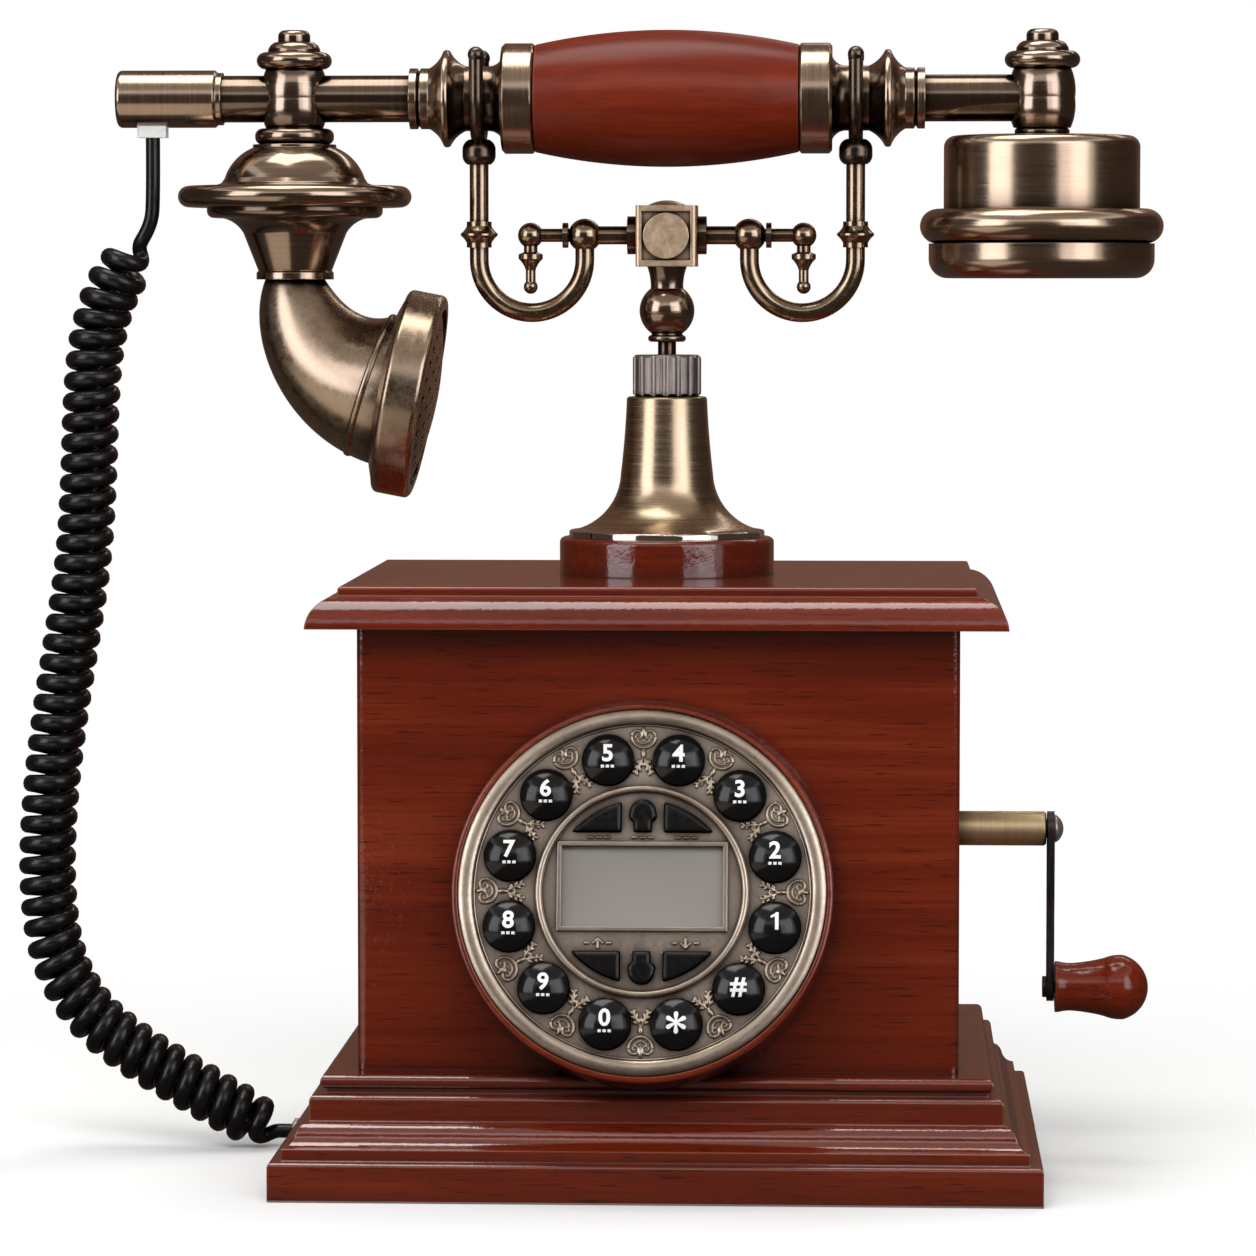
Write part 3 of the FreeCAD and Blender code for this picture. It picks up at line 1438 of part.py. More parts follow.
def main_board():
    """The board on the cleats, with its hook switch under the stem and its sounder."""
    half_x, half_y = INNER_WIDTH - size.run_gap, size.main_board_depth / 2
    board = block("circuit_board", (-half_x, -half_y, size.cleat_top), (half_x, half_y, BOARD_TOP))
    half_w, half_d = size.hook_switch_width / 2, size.hook_switch_depth / 2
    switch_top = BOARD_TOP + size.hook_switch_height
    switch = block("hook_switch", (-half_w, -half_d, BOARD_TOP), (half_w, half_d, switch_top))
    sounder = cylinder("sounder", size.sounder_radius, size.sounder_height)
    place(sounder, size.sounder_place, 0, BOARD_TOP)
    return fuse("main_board", board, switch, sounder)


def line_jack():
    half_w, half_h = size.jack_width / 2, size.jack_rise / 2
    x, z, back = size.jack_place, size.jack_height, BOX_FRONT
    inside = back - size.wall
    body = block("jack_body", (x - half_w, back - size.jack_length, z - half_h),
                 (x + half_w, back, z + half_h))
    rim = size.jack_flange
    flange = block("jack_flange", (x - half_w - rim, inside - rim, z - half_h - rim),
                   (x + half_w + rim, inside, z + half_h + rim))
    port_w, port_h = size.jack_port_width / 2, size.jack_port_rise / 2
    port = block("jack_port", (x - port_w, back - size.jack_port_depth, z - port_h),
                 (x + port_w, back + size.edge, z + port_h))
    return cut("line_jack", fuse("jack_housing", body, flange), port)


SOCKET_OUTSIDE = -size.plinth_width / 2
PLUG_MIDDLE = (size.socket_bottom + size.socket_top) / 2
PLUG_END = SOCKET_OUTSIDE - size.plug_tail


def cord_socket():
    half = size.socket_width / 2
    body = block("socket_body", (SOCKET_OUTSIDE, -half, size.socket_bottom),
                 (SOCKET_OUTSIDE + size.socket_length - size.fit_gap, half, size.socket_top))
    port_w, port_h = size.plug_width / 2 + size.fit_gap, size.plug_rise / 2 + size.fit_gap
    port = block("socket_port", (PLUG_END, -port_w, PLUG_MIDDLE - port_h),
                 (PLUG_END + size.plug_length + size.fit_gap, port_w, PLUG_MIDDLE + port_h))
    return cut("cord_socket", body, port)


def cord_plug():
    half_w, half_h = size.plug_width / 2, size.plug_rise / 2
    return block("cord_plug", (PLUG_END, -half_w, PLUG_MIDDLE - half_h),
                 (PLUG_END + size.plug_length, half_w, PLUG_MIDDLE + half_h))


# Wound tubes


def biarc(start, way, end, end_way):
    """Two arcs that leave one point and reach another along given directions."""
    span = end - start
    ways = way + end_way
    fall = 2 * (1 - way.dot(end_way))
    lean = span.dot(ways)
    if fall < 1e-9:
        reach = span.dot(span) / (2 * lean)
    else:
        reach = (math.sqrt(lean * lean + fall * span.dot(span)) - lean) / fall
    first, last = start + way * reach, end - end_way * reach
    middle = (first + last) * 0.5
    return [arc(start, first, middle), arc(middle, last, end)]


def arc(start, corner, end):
    """The arc that touches both legs of a corner, or a line where there is no corner."""
    half = (start + end) * 0.5
    if (corner - half).Length < 1e-5:
        return Part.LineSegment(start, end).toShape()
    weight = (end - start).Length / 2 / (corner - start).Length
    middle = (start + corner * (2 * weight) + end) * (1 / (2 + 2 * weight))
    return Part.Arc(start, middle, end).toShape()


def wound_tube(points, ways, radius):
    """A tube on biarcs through points, each with its direction."""
    edges = []
    for index in range(len(points) - 1):
        edges += biarc(points[index], ways[index], points[index + 1], ways[index + 1])
    path = Part.Wire(edges)
    section = Part.Wire(Part.Circle(points[0], ways[0], radius).toShape())
    return path.makePipeShell([section], True, False)


def plunger_spring():
    """The return spring round the stem, between the pedestal disc and the stem's shoulder."""
    wire = size.spring_wire.value / 2
    radius, turns = size.spring_coil_radius.value, int(size.spring_turns.value)
    low = DISC_TOP.value + wire + size.fit_gap.value
    high = SHOULDER_BOTTOM.value - wire - size.fit_gap.value
    steps = turns * 4
    points, ways = [], []
    for step in range(steps + 1):
        angle = math.pi / 2 * step
        across, along = radius * math.cos(angle), radius * math.sin(angle)
        points.append(Vector(across, along, low + (high - low) * step / steps))
        ways.append(Vector(-along, across, (high - low) / (2 * math.pi * turns)).normalize())
    feature = doc.addObject("Part::Feature", "plunger_spring")
    feature.Label = "plunger_spring"
    feature.Shape = wound_tube(points, ways, wire)
    return feature


# The cord's middle line: down from the clamp, out to the left and back to the plinth
PLUG_LEVEL = PLUG_MIDDLE.value
CORD_TOP = Vector(-size.cord_exit.value, 0, CLAMP_BOTTOM.value - size.fit_gap.value)
CORD_END = Vector(PLUG_END.value - size.fit_gap.value, 0, PLUG_LEVEL)
CORD_STRAIGHT = size.cord_wire.value
CORD_ROUTE = [
    CORD_TOP - Vector(0, 0, CORD_STRAIGHT),
    Vector(-136, 0, 254), Vector(-136.5, 0, 246), Vector(-142, 0, 238), Vector(-148, 0, 228),
    Vector(-151.6, 0, 215), Vector(-153, 0, 199), Vector(-153.6, 0, 180),
    Vector(-155, 0, 158), Vector(-158.9, 0, 134), Vector(-162.8, 0, 110), Vector(-165.2, 0, 88),
    Vector(-165.6, 0, 68), Vector(-163, 0, 50), Vector(-154.5, 0, 35.5), Vector(-142, 0, 25.8),
    Vector(-128, 0, 17.6), Vector(-117, 0, 11.2), Vector(-111, 0, 8.2), Vector(-107.5, 0, PLUG_LEVEL),
    CORD_END - Vector(CORD_STRAIGHT, 0, 0),
]
CURL_START = 22.0
SWELL_IN = 12.0
SWELL_OUT = 9.0
ROUTE_STEPS = 2000
STATIONS_PER_TURN = 4


def spline_point(points, share):
    """A point on the clamped quadratic spline of a route."""
    spans = len(points) - 2
    index = min(int(share * spans), spans - 1)
    local = share * spans - index
    start = points[index] if index == 0 else (points[index] + points[index + 1]) * 0.5
    end = points[index + 2] if index == spans - 1 else (points[index + 1] + points[index + 2]) * 0.5
    return start * ((1 - local) ** 2) + points[index + 1] * (2 * local * (1 - local)) + end * (local ** 2)


class Cord:
    """The curly cord's wire: its middle line, with a helix wound round it between two straight leads."""

    def __init__(self):
        self.line = [spline_point(CORD_ROUTE, step / ROUTE_STEPS) for step in range(ROUTE_STEPS + 1)]
        self.reach = [0.0]
        for before, after in zip(self.line, self.line[1:]):
            self.reach.append(self.reach[-1] + (after - before).Length)
        self.total = self.reach[-1]
        self.pitch = size.curl_pitch.value
        self.turns = self.wound(self.total) / self.pitch

    def swell(self, distance):
        """How far the helix is grown, in at its start and out again at its end, each from 0 to 1."""
        grown = min(max((distance - CURL_START) / SWELL_IN, 0.0), 1.0)
        left = min(max((self.total - distance) / SWELL_OUT, 0.0), 1.0)
        return grown, left

    def wound(self, distance):
        """The length of middle line wound so far, slower where the helix is still small."""
        grown, left = self.swell(distance)
        whole = self.total - CURL_START - SWELL_IN - SWELL_OUT
        plain = min(max(distance - CURL_START - SWELL_IN, 0.0), whole)
        return (SWELL_IN * (grown ** 3 - grown ** 4 / 2) + plain
                + SWELL_OUT * (0.5 - left ** 3 + left ** 4 / 2))

    def middle(self, distance):
        """A point of the middle line and the direction there."""
        index = min(max(bisect.bisect_right(self.reach, distance) - 1, 0), ROUTE_STEPS - 1)
        before, after = self.line[index], self.line[index + 1]
        way = (after - before).normalize()
        return before + way * (distance - self.reach[index]), way

    def curl(self, distance):
        """The helix radius, which swells from nothing at both ends."""
        share = min(self.swell(distance))
        return size.curl_radius.value * share * share * (3 - 2 * share)

    def wire(self, distance):
        """A point of the wire."""
        point, way = self.middle(distance)
        angle = 2 * math.pi * self.wound(distance) / self.pitch
        side = Vector(0, 1, 0)
        return point + (side * math.cos(angle) + way.cross(side) * math.sin(angle)) * self.curl(distance)

    def way(self, distance):
        """The wire's direction, along the middle line at its two ends."""
        if distance <= 0 or distance >= self.total:
            return self.middle(distance)[1]
        step = 0.02
        return (self.wire(distance + step) - self.wire(distance - step)).normalize()

    def report(self):
        """Print the route's least bend radius, the wire's length and the least gap between turns."""
        bends = []
        for step in range(int(CURL_START), int(self.total)):
            before, after = self.middle(step - 1)[1], self.middle(step + 1)[1]
            bends.append(2 / max(before.getAngle(after), 1e-9))
        per_turn = 24
        count = int(self.turns * per_turn)
        curled = self.total - CURL_START
        wire = [self.wire(CURL_START + curled * step / count) for step in range(count + 1)]
        gaps = [(wire[index] - wire[other]).Length for index in range(count)
                for other in range(index + 3 * per_turn // 4, min(index + 3 * per_turn, count))]
        length = sum((after - before).Length for before, after in zip(wire, wire[1:]))
        print(f"cord: least route radius {min(bends):.1f}")
        print(f"cord: {self.turns:.1f} turns of radius {size.curl_radius.value}")
        print(f"cord: wire length {length + CURL_START + 2 * CORD_STRAIGHT:.0f}")
        print(f"cord: least gap between turns {min(gaps) - size.cord_wire.value:.2f}")


def handset_cord():
    """The curly cord from the clamp in the handset's cap to the plug in the plinth."""
    cord = Cord()
    lead = [CURL_START * step / 4 for step in range(4)]
    stations = int(cord.turns * STATIONS_PER_TURN)
    curl = [CURL_START + (cord.total - CURL_START) * step / stations for step in range(stations + 1)]
    spots = lead + curl
    points = [CORD_TOP] + [cord.wire(spot) for spot in spots] + [CORD_END]
    ways = [Vector(0, 0, -1)] + [cord.way(spot) for spot in spots] + [Vector(1, 0, 0)]
    feature = doc.addObject("Part::Feature", "handset_cord")
    feature.Label = "handset_cord"
    feature.Shape = wound_tube(points, ways, size.cord_wire.value / 2)
    cord.report()
    return feature


def main():
    makers = (
        base_plinth, cabinet_box, lid, bottom_cover, rubber_feet,
        pedestal_disc, pedestal_bell, knurled_collar,
        cradle_stem, cradle_post, cradle_arms, cradle_hooks, cradle_forks, plunger_spring,
        grip, grip_ferrules, handset_tube, mouth_post, ear_post, post_nuts, cord_cap, cord_clamp, mouth_bell,
        mouth_elbow, mouthpiece, mouth_grille, ear_shell, ear_cap, handset_capsules,
        crank_bush, crank_shaft, crank_arm, crank_knob,
        dial_housing, dial_plate, display, keypad_board, main_board, line_jack, cord_socket, cord_plug,
        handset_cord,
    )
    nodes = [make() for make in makers] + dial_keys() + function_keys()
    doc.recompute()
    for item in doc.Objects:
        if "Invalid" in item.State or "Error" in item.State:
            raise RuntimeError(f"{item.Label} did not build: {item.State}")
    for node in nodes:
        if node.Shape.isNull() or not node.Shape.isValid():
            raise RuntimeError(f"{node.Label} has no valid shape")
    os.makedirs("parts", exist_ok=True)
    for node in nodes:
        node.Shape.exportStep(f"parts/{node.Label}.step")
    print(len(nodes), "nodes")


main()
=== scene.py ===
import math

import bmesh
import bpy
import numpy as np
from mathutils import Matrix, Vector


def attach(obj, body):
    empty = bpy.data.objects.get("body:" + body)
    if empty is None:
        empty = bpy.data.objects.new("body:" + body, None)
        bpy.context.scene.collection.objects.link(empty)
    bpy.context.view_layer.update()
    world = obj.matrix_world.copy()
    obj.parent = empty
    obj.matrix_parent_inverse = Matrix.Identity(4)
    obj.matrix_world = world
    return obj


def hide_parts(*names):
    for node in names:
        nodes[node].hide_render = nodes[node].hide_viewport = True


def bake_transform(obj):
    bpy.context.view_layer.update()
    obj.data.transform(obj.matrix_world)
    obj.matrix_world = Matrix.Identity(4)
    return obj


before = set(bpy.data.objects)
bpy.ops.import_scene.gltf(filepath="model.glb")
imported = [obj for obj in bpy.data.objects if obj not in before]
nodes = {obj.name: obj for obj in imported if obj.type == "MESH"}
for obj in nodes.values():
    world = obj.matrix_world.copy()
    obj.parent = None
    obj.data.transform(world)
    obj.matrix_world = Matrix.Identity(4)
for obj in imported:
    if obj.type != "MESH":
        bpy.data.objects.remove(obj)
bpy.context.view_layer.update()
scene = bpy.context.scene
scene.view_settings.view_transform = "Standard"
MM = 0.001

# Camera, where the photograph was taken from
PHOTO_PIXELS = 1256
FOCAL_PIXELS = 5199
CAMERA_PLACE = Vector((0.0531, -1.3724, 0.2298))
CAMERA_YAW = math.radians(2.645)
CAMERA_PITCH = math.radians(3.752)


def add_camera():
    """A camera without shift, turned by yaw and pitch alone."""
    data = bpy.data.cameras.new("camera")
    data.sensor_width = 36
    data.lens = data.sensor_width * FOCAL_PIXELS / PHOTO_PIXELS
    data.clip_end = 20
    camera = bpy.data.objects.new("camera", data)
    camera.location = CAMERA_PLACE
    camera.rotation_euler = (math.pi / 2 - CAMERA_PITCH, 0, CAMERA_YAW)
    scene.collection.objects.link(camera)
    scene.camera = camera


# Meshes
TUBE_SIDES = 8
RING_SIDES = 16


def new_object(name, mesh, body, material):
    """Link a mesh as a piece that rides on a body and takes the given material."""
    piece = bpy.data.objects.new(name, mesh)
    scene.collection.objects.link(piece)
    mesh.materials.append(material)
    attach(piece, body)


def smooth(mesh, angle):
    """Smooth shading, with edges sharper than an angle in degrees kept."""
    mesh.polygons.foreach_set("use_smooth", [True] * len(mesh.polygons))
    mesh.set_sharp_from_angle(angle=math.radians(angle))


def tube_parts(path, radii):
    """A closed tube along points, with one radius for each point, on frames that don't twist."""
    path = np.array(path)
    ways = np.gradient(path, axis=0)
    ways /= np.linalg.norm(ways, axis=1)[:, None]
    side = np.cross(ways[0], (0, 0, 1) if abs(ways[0][2]) < 0.9 else (0, 1, 0))
    turn = np.linspace(0, 2 * math.pi, TUBE_SIDES, endpoint=False)
    verts = []
    for point, way, radius in zip(path, ways, radii):
        side = side - way * side.dot(way)
        side /= np.linalg.norm(side)
        up = np.cross(way, side)
        verts += [point + radius * (side * math.cos(a) + up * math.sin(a)) for a in turn]
    return [Vector(v) for v in verts], tube_faces(len(path), TUBE_SIDES)


def tube_faces(rings, sides):
    """The sides and the two ends of a tube whose vertices come ring by ring."""
    faces = []
    for ring in range(rings - 1):
        for step in range(sides):
            here, there = ring * sides + step, ring * sides + (step + 1) % sides
            faces.append((here, there, there + sides, here + sides))
    last = (rings - 1) * sides
    faces.append(tuple(reversed(range(sides))))
    faces.append(tuple(range(last, last + sides)))
    return faces


def merged_mesh(name, parts):
    """One mesh of several lists of vertices and faces."""
    verts, faces = [], []
    for part_verts, part_faces in parts:
        faces += [tuple(len(verts) + i for i in face) for face in part_faces]
        verts += part_verts
    mesh = bpy.data.meshes.new(name)
    mesh.from_pydata(verts, [], faces)
    smooth(mesh, 50)
    return mesh


# The curly cord: its route's points as x and z in millimetres, then a helix wound round the route's spline
WIRE = 3.8 * MM
WIRE_WIDTH = 4.5 * MM
WIRE_SIDES = 14
PLUG_LEVEL = 4.75
CORD_TOP = Vector((-136.0, 0, 269.05)) * MM
CORD_END = Vector((-99.8, 0, PLUG_LEVEL)) * MM
CORD_ROUTE = [
    (-136, 265.25), (-136, 254), (-136.5, 246), (-142, 238), (-148, 228), (-151.6, 215), (-153, 199),
    (-153.6, 180), (-155, 158), (-158.9, 134), (-162.8, 110), (-165.2, 88), (-165.6, 68), (-163, 50),
    (-154.5, 35.5), (-142, 25.8), (-128, 17.6), (-117, 11.2), (-111, 8.2),
    (-107.5, PLUG_LEVEL), (-103.6, PLUG_LEVEL),
]
CURL_RADIUS = 5.75 * MM
CURL_PITCH = 5.4 * MM
CURL_START = 22 * MM
SWELL_IN = 12 * MM
SWELL_OUT = 9 * MM
LEAD_POINTS = 16
POINTS_PER_TURN = 24


def route_points():
    """Points of the route's spline."""
    curve = bpy.data.curves.new("cord_route", "CURVE")
    curve.dimensions = "3D"
    curve.resolution_u = 64
    spline = curve.splines.new("NURBS")
    spline.points.add(len(CORD_ROUTE) - 1)
    for point, (x, z) in zip(spline.points, CORD_ROUTE):
        point.co = (x * MM, 0, z * MM, 1)
    spline.order_u = 3
    spline.use_endpoint_u = True
    route = bpy.data.objects.new("cord_route", curve)
    mesh = bpy.data.meshes.new_from_object(route)
    points = np.array([v.co for v in mesh.vertices])
    bpy.data.objects.remove(route)
    bpy.data.meshes.remove(mesh)
    return points


def ease(share):
    """A smooth step from 0 to 1."""
    share = np.clip(share, 0, 1)
    return share * share * (3 - 2 * share)


def wound_wire():
    """The wire's middle line: straight leads at both ends and the helix between them."""
    line = route_points()
    reach = np.r_[0, np.cumsum(np.linalg.norm(np.diff(line, axis=0), axis=1))]
    total = reach[-1]
    count = int((total - CURL_START) / CURL_PITCH * POINTS_PER_TURN)
    lead = np.linspace(0, CURL_START, LEAD_POINTS, endpoint=False)
    spots = np.r_[lead, np.linspace(CURL_START, total, count)]
    middle = np.array([np.interp(spots, reach, line[:, axis]) for axis in range(3)]).T
    ways = np.gradient(middle, spots, axis=0)
    ways /= np.linalg.norm(ways, axis=1)[:, None]
    swell = np.minimum(ease((spots - CURL_START) / SWELL_IN), ease((total - spots) / SWELL_OUT))
    wound = np.r_[0, np.cumsum((swell[1:] + swell[:-1]) / 2 * np.diff(spots))]
    angle = (2 * math.pi / CURL_PITCH * wound)[:, None]
    side = np.array([0, 1, 0])
    outward = side * np.cos(angle) + np.cross(ways, side) * np.sin(angle)
    wire = middle + CURL_RADIUS * swell[:, None] * outward
    ends = np.vstack([CORD_TOP, wire, CORD_END])
    return ends, np.vstack([outward[:1], outward, outward[-1:]]), np.r_[0, swell, 0]


def cord_mesh(path, outward, swell):
    """The wire's skin: round in its leads, and in the coil an oval that is wider along the coil."""
    ways = np.gradient(path, axis=0)
    ways /= np.linalg.norm(ways, axis=1)[:, None]
    across = np.cross(ways, outward)
    across /= np.linalg.norm(across, axis=1)[:, None]
    out = np.cross(across, ways)
    half_width = (WIRE + (WIRE_WIDTH - WIRE) * swell)[:, None] / 2
    turns = np.linspace(0, 2 * math.pi, WIRE_SIDES, endpoint=False)
    rings = [path + out * math.cos(a) * WIRE / 2 + across * math.sin(a) * half_width for a in turns]
    verts = np.stack(rings, axis=1).reshape(-1, 3)
    mesh = bpy.data.meshes.new("curly_cord")
    mesh.from_pydata([Vector(v) for v in verts], [], tube_faces(len(path), WIRE_SIDES))
    mesh.update()
    smooth(mesh, 60)
    return mesh


def add_cord(material):
    """The curly cord, from the cabinet at its low end up to the handset at its top."""
    path, outward, swell = wound_wire()
    mesh = cord_mesh(path, outward, swell)
    cord = bpy.data.objects.new("curly_cord", mesh)
    scene.collection.objects.link(cord)
    mesh.materials.append(material)
    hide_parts("handset_cord")
    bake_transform(cord)


# Materials


class Shader:
    """A material's node tree with short calls for what is used often."""

    def __init__(self, name):
        self.material = bpy.data.materials.new(name)
        self.material.use_nodes = True
        self.tree = self.material.node_tree
        self.surface = self.tree.nodes["Principled BSDF"]
        self.coords = self.add("ShaderNodeTexCoord").outputs["Object"]

    def add(self, kind, **values):
        node = self.tree.nodes.new(kind)
        for key, value in values.items():
            setattr(node, key, value)
        return node

    def link(self, source, target):
        self.tree.links.new(source, target)

    def set(self, **values):
        """Constant inputs of the surface, with spaces written as underscores."""
        for key, value in values.items():
            self.surface.inputs[key.replace("_", " ")].default_value = value

    def stretched(self, scale):
        """Object coordinates scaled by three numbers, in cycles a metre."""
        mapping = self.add("ShaderNodeMapping")
        mapping.inputs["Scale"].default_value = scale
        self.link(self.coords, mapping.inputs["Vector"])
        return mapping.outputs["Vector"]

    def noise(self, scale, detail, roughness=0.6, distortion=0.0):
        """Noise with its own frequency along each axis, in cycles a metre."""
        node = self.add("ShaderNodeTexNoise")
        node.inputs["Scale"].default_value = 1
        node.inputs["Detail"].default_value = detail
        node.inputs["Roughness"].default_value = roughness
        node.inputs["Distortion"].default_value = distortion
        self.link(self.stretched(scale), node.inputs["Vector"])
        return node.outputs["Fac"]

    def ramp(self, value, stops):
        """A colour ramp with (place, colour) stops."""
        node = self.add("ShaderNodeValToRGB")
        elements = node.color_ramp.elements
        while len(elements) < len(stops):
            elements.new(1.0)
        for element, (place, colour) in zip(elements, stops):
            element.position = place
            element.color = (*colour, 1)
        self.link(value, node.inputs["Fac"])
        return node.outputs["Color"]

    def grey(self, value, low, high, dark=0.0, light=1.0):
        """A value stretched from low..high to dark..light."""
        node = self.add("ShaderNodeMapRange")
        for key, number in (("From Min", low), ("From Max", high), ("To Min", dark), ("To Max", light)):
            node.inputs[key].default_value = number
        self.link(value, node.inputs["Value"])
        return node.outputs["Result"]

    def mix(self, share, first, second):
        """Two colours, each a socket or three numbers, mixed by a socket."""
        node = self.add("ShaderNodeMix", data_type="RGBA")
        self.link(share, node.inputs["Factor"])
        for socket, value in zip((node.inputs[6], node.inputs[7]), (first, second)):
            if hasattr(value, "links"):
                self.link(value, socket)
            else:
                socket.default_value = (*value, 1)
        return node.outputs[2]

    def math(self, kind, first, second):
        """Two values, each a socket or a number, joined by an operation."""
        node = self.add("ShaderNodeMath", operation=kind)
        for socket, value in zip(node.inputs, (first, second)):
            if hasattr(value, "links"):
                self.link(value, socket)
            else:
                socket.default_value = value
        return node.outputs[0]

    def hollow(self, distance, low, high):
        """How open the surface is: 0 in corners and grooves, 1 in the open."""
        node = self.add("ShaderNodeAmbientOcclusion", samples=8)
        node.inputs["Distance"].default_value = distance
        return self.grey(node.outputs["AO"], low, high)

    def edges(self, radius):
        """A mask of outer and inner edges."""
        bevel = self.add("ShaderNodeBevel", samples=6)
        bevel.inputs["Radius"].default_value = radius
        plain = self.add("ShaderNodeNewGeometry")
        product = self.add("ShaderNodeVectorMath", operation="DOT_PRODUCT")
        self.link(bevel.outputs["Normal"], product.inputs[0])
        self.link(plain.outputs["Normal"], product.inputs[1])
        return self.grey(product.outputs["Value"], 0.995, 0.8)

    def bump(self, height, distance, strength=1.0, rounding=0.0, target="Normal"):
        """Bump from a height, over edges rounded by the shader where a radius is given."""
        node = self.add("ShaderNodeBump")
        node.inputs["Distance"].default_value = distance
        node.inputs["Strength"].default_value = strength
        self.link(height, node.inputs["Height"])
        if rounding:
            bevel = self.add("ShaderNodeBevel", samples=6)
            bevel.inputs["Radius"].default_value = rounding
            self.link(bevel.outputs["Normal"], node.inputs["Normal"])
        self.link(node.outputs["Normal"], self.surface.inputs[target])

    def paint(self, colour, roughness):
        self.link(colour, self.surface.inputs["Base Color"])
        self.link(roughness, self.surface.inputs["Roughness"])


def wood_material(name, along, tint=1.0, coat=0.9, coat_ior=1.7, polish=0.06, pored=0.65):
    """Red-brown lacquered wood: long bands, fine streaks and short dark pores along the grain's axes, with
    painted shade in the hollows and a painted highlight mixed with wear on the edges.
    """
    shader = Shader(name)

    def grained(length, width):
        return tuple(length if axis in along else width for axis in "xyz")

    bands = shader.noise(grained(3, 38), detail=3, distortion=0.6)
    streaks = shader.noise(grained(9, 420), detail=5, roughness=0.7)
    pores = shader.noise(grained(100, 1500), detail=2, roughness=0.5)
    cloud = shader.noise((16, 16, 16), detail=2)
    tones = (0.066, 0.0062, 0.0014), (0.140, 0.0140, 0.0032), (0.225, 0.033, 0.0085)
    deep, mid, light = [tuple(c * tint for c in tone) for tone in tones]
    pore_tone, edge_wear_and_highlight_tone, painted_shade = (0.02, 0.003, 0.001), (0.34, 0.10, 0.05), (0.02, 0.004, 0.003)
    mixed = shader.math("ADD", shader.math("MULTIPLY", bands, 0.55), shader.math("MULTIPLY", streaks, 0.45))
    colour = shader.ramp(mixed, [(0.3, deep), (0.5, mid), (0.72, light)])
    colour = shader.mix(shader.grey(cloud, 0.35, 0.7, 0.0, 0.35), colour, deep)
    dashes = shader.grey(pores, 0.60, 0.70)
    colour = shader.mix(shader.math("MULTIPLY", dashes, pored), colour, pore_tone)
    # Painted highlight mixed with wear: the outer and inner edges are made paler in colour.
    edge_wear_and_highlight_mask = shader.math("MULTIPLY", shader.edges(0.0010), shader.grey(cloud, 0.3, 0.6, 0.15, 0.6))
    colour = shader.mix(edge_wear_and_highlight_mask, colour, edge_wear_and_highlight_tone)
    # Painted shade: the colour darkens in corners, grooves and under overhangs.
    colour = shader.mix(shader.hollow(0.006, 0.3, 0.8), painted_shade, colour)
    shader.paint(colour, shader.grey(streaks, 0.3, 0.7, 0.3, 0.4))
    shader.set(Coat_Weight=coat, Coat_Roughness=polish, Coat_IOR=coat_ior, Specular_IOR_Level=0.06)
    waves = shader.noise((450, 450, 450), detail=3)
    shader.bump(shader.math("SUBTRACT", streaks, dashes), 0.00006, 0.5, rounding=0.0006)
    shader.bump(waves, 0.00006, 1.0, rounding=0.0006, target="Coat Normal")
    return shader.material


def brass_material(name, across, *, rough, bright=1.0, brushed=0.2, gold=0.0, rounding=0.0004,
                   polished_below=0.0):
    """Antique brass, brushed round its turning axis, with painted shade that also stands for patina in the
    hollows, and a painted highlight mixed with wear on the edges.
    """
    shader = Shader(name)
    fine = {"x": (3600, 45, 45), "z": (45, 45, 3600), "": (420, 420, 420)}[across]
    brush = shader.noise(fine, detail=3, roughness=0.75)
    cloud = shader.noise((45, 45, 45), detail=4)
    specks = shader.noise((900, 900, 900), detail=2)
    tones = (0.090, 0.046, 0.026), (0.30, 0.222, 0.160), (0.41, 0.317, 0.245)
    # bright lightens or darkens this whole copy of the brass; most callers set it part by part as painted
    # light.
    hue = (bright, bright * (1 + 0.02 * gold), bright * (1 - 0.22 * gold))
    dark, mid, light = [tuple(c * h for c, h in zip(tone, hue)) for tone in tones]
    edge_wear_and_highlight, painted_shade, polish = (0.60, 0.49, 0.38), (0.022, 0.009, 0.004), (0.78, 0.72, 0.64)
    mixed = shader.math("ADD", shader.math("MULTIPLY", brush, 0.6), shader.math("MULTIPLY", cloud, 0.4))
    colour = shader.ramp(mixed, [(0.32, mid), (0.62, light)])
    patina = shader.math("MULTIPLY", shader.grey(cloud, 0.5, 0.75), shader.grey(specks, 0.4, 0.6, 0.05, 0.16))
    colour = shader.mix(patina, colour, dark)
    # Painted highlight mixed with wear: the edges are made paler in colour.
    if rounding:
        colour = shader.mix(shader.math("MULTIPLY", shader.edges(0.0007), 0.5), colour, edge_wear_and_highlight)
    # Painted shade in the hollows, where it also stands for patina.
    colour = shader.mix(shader.hollow(0.006, 0.4, 1.0), painted_shade, colour)
    dull = shader.grey(brush, 0.3, 0.7, rough, rough + 0.12)
    if polished_below:
        height = shader.add("ShaderNodeSeparateXYZ")
        shader.link(shader.coords, height.inputs["Vector"])
        blur = 0.0002
        above = shader.grey(height.outputs["Z"], polished_below - blur, polished_below + blur)
        dull = shader.math("MULTIPLY", dull, shader.grey(above, 0, 1, 0.15, 1.0))
        colour = shader.mix(above, polish, colour)
    shader.paint(colour, dull)
    shader.set(Metallic=1.0)
    shader.bump(brush, 0.00002, brushed, rounding=rounding)
    return shader.material


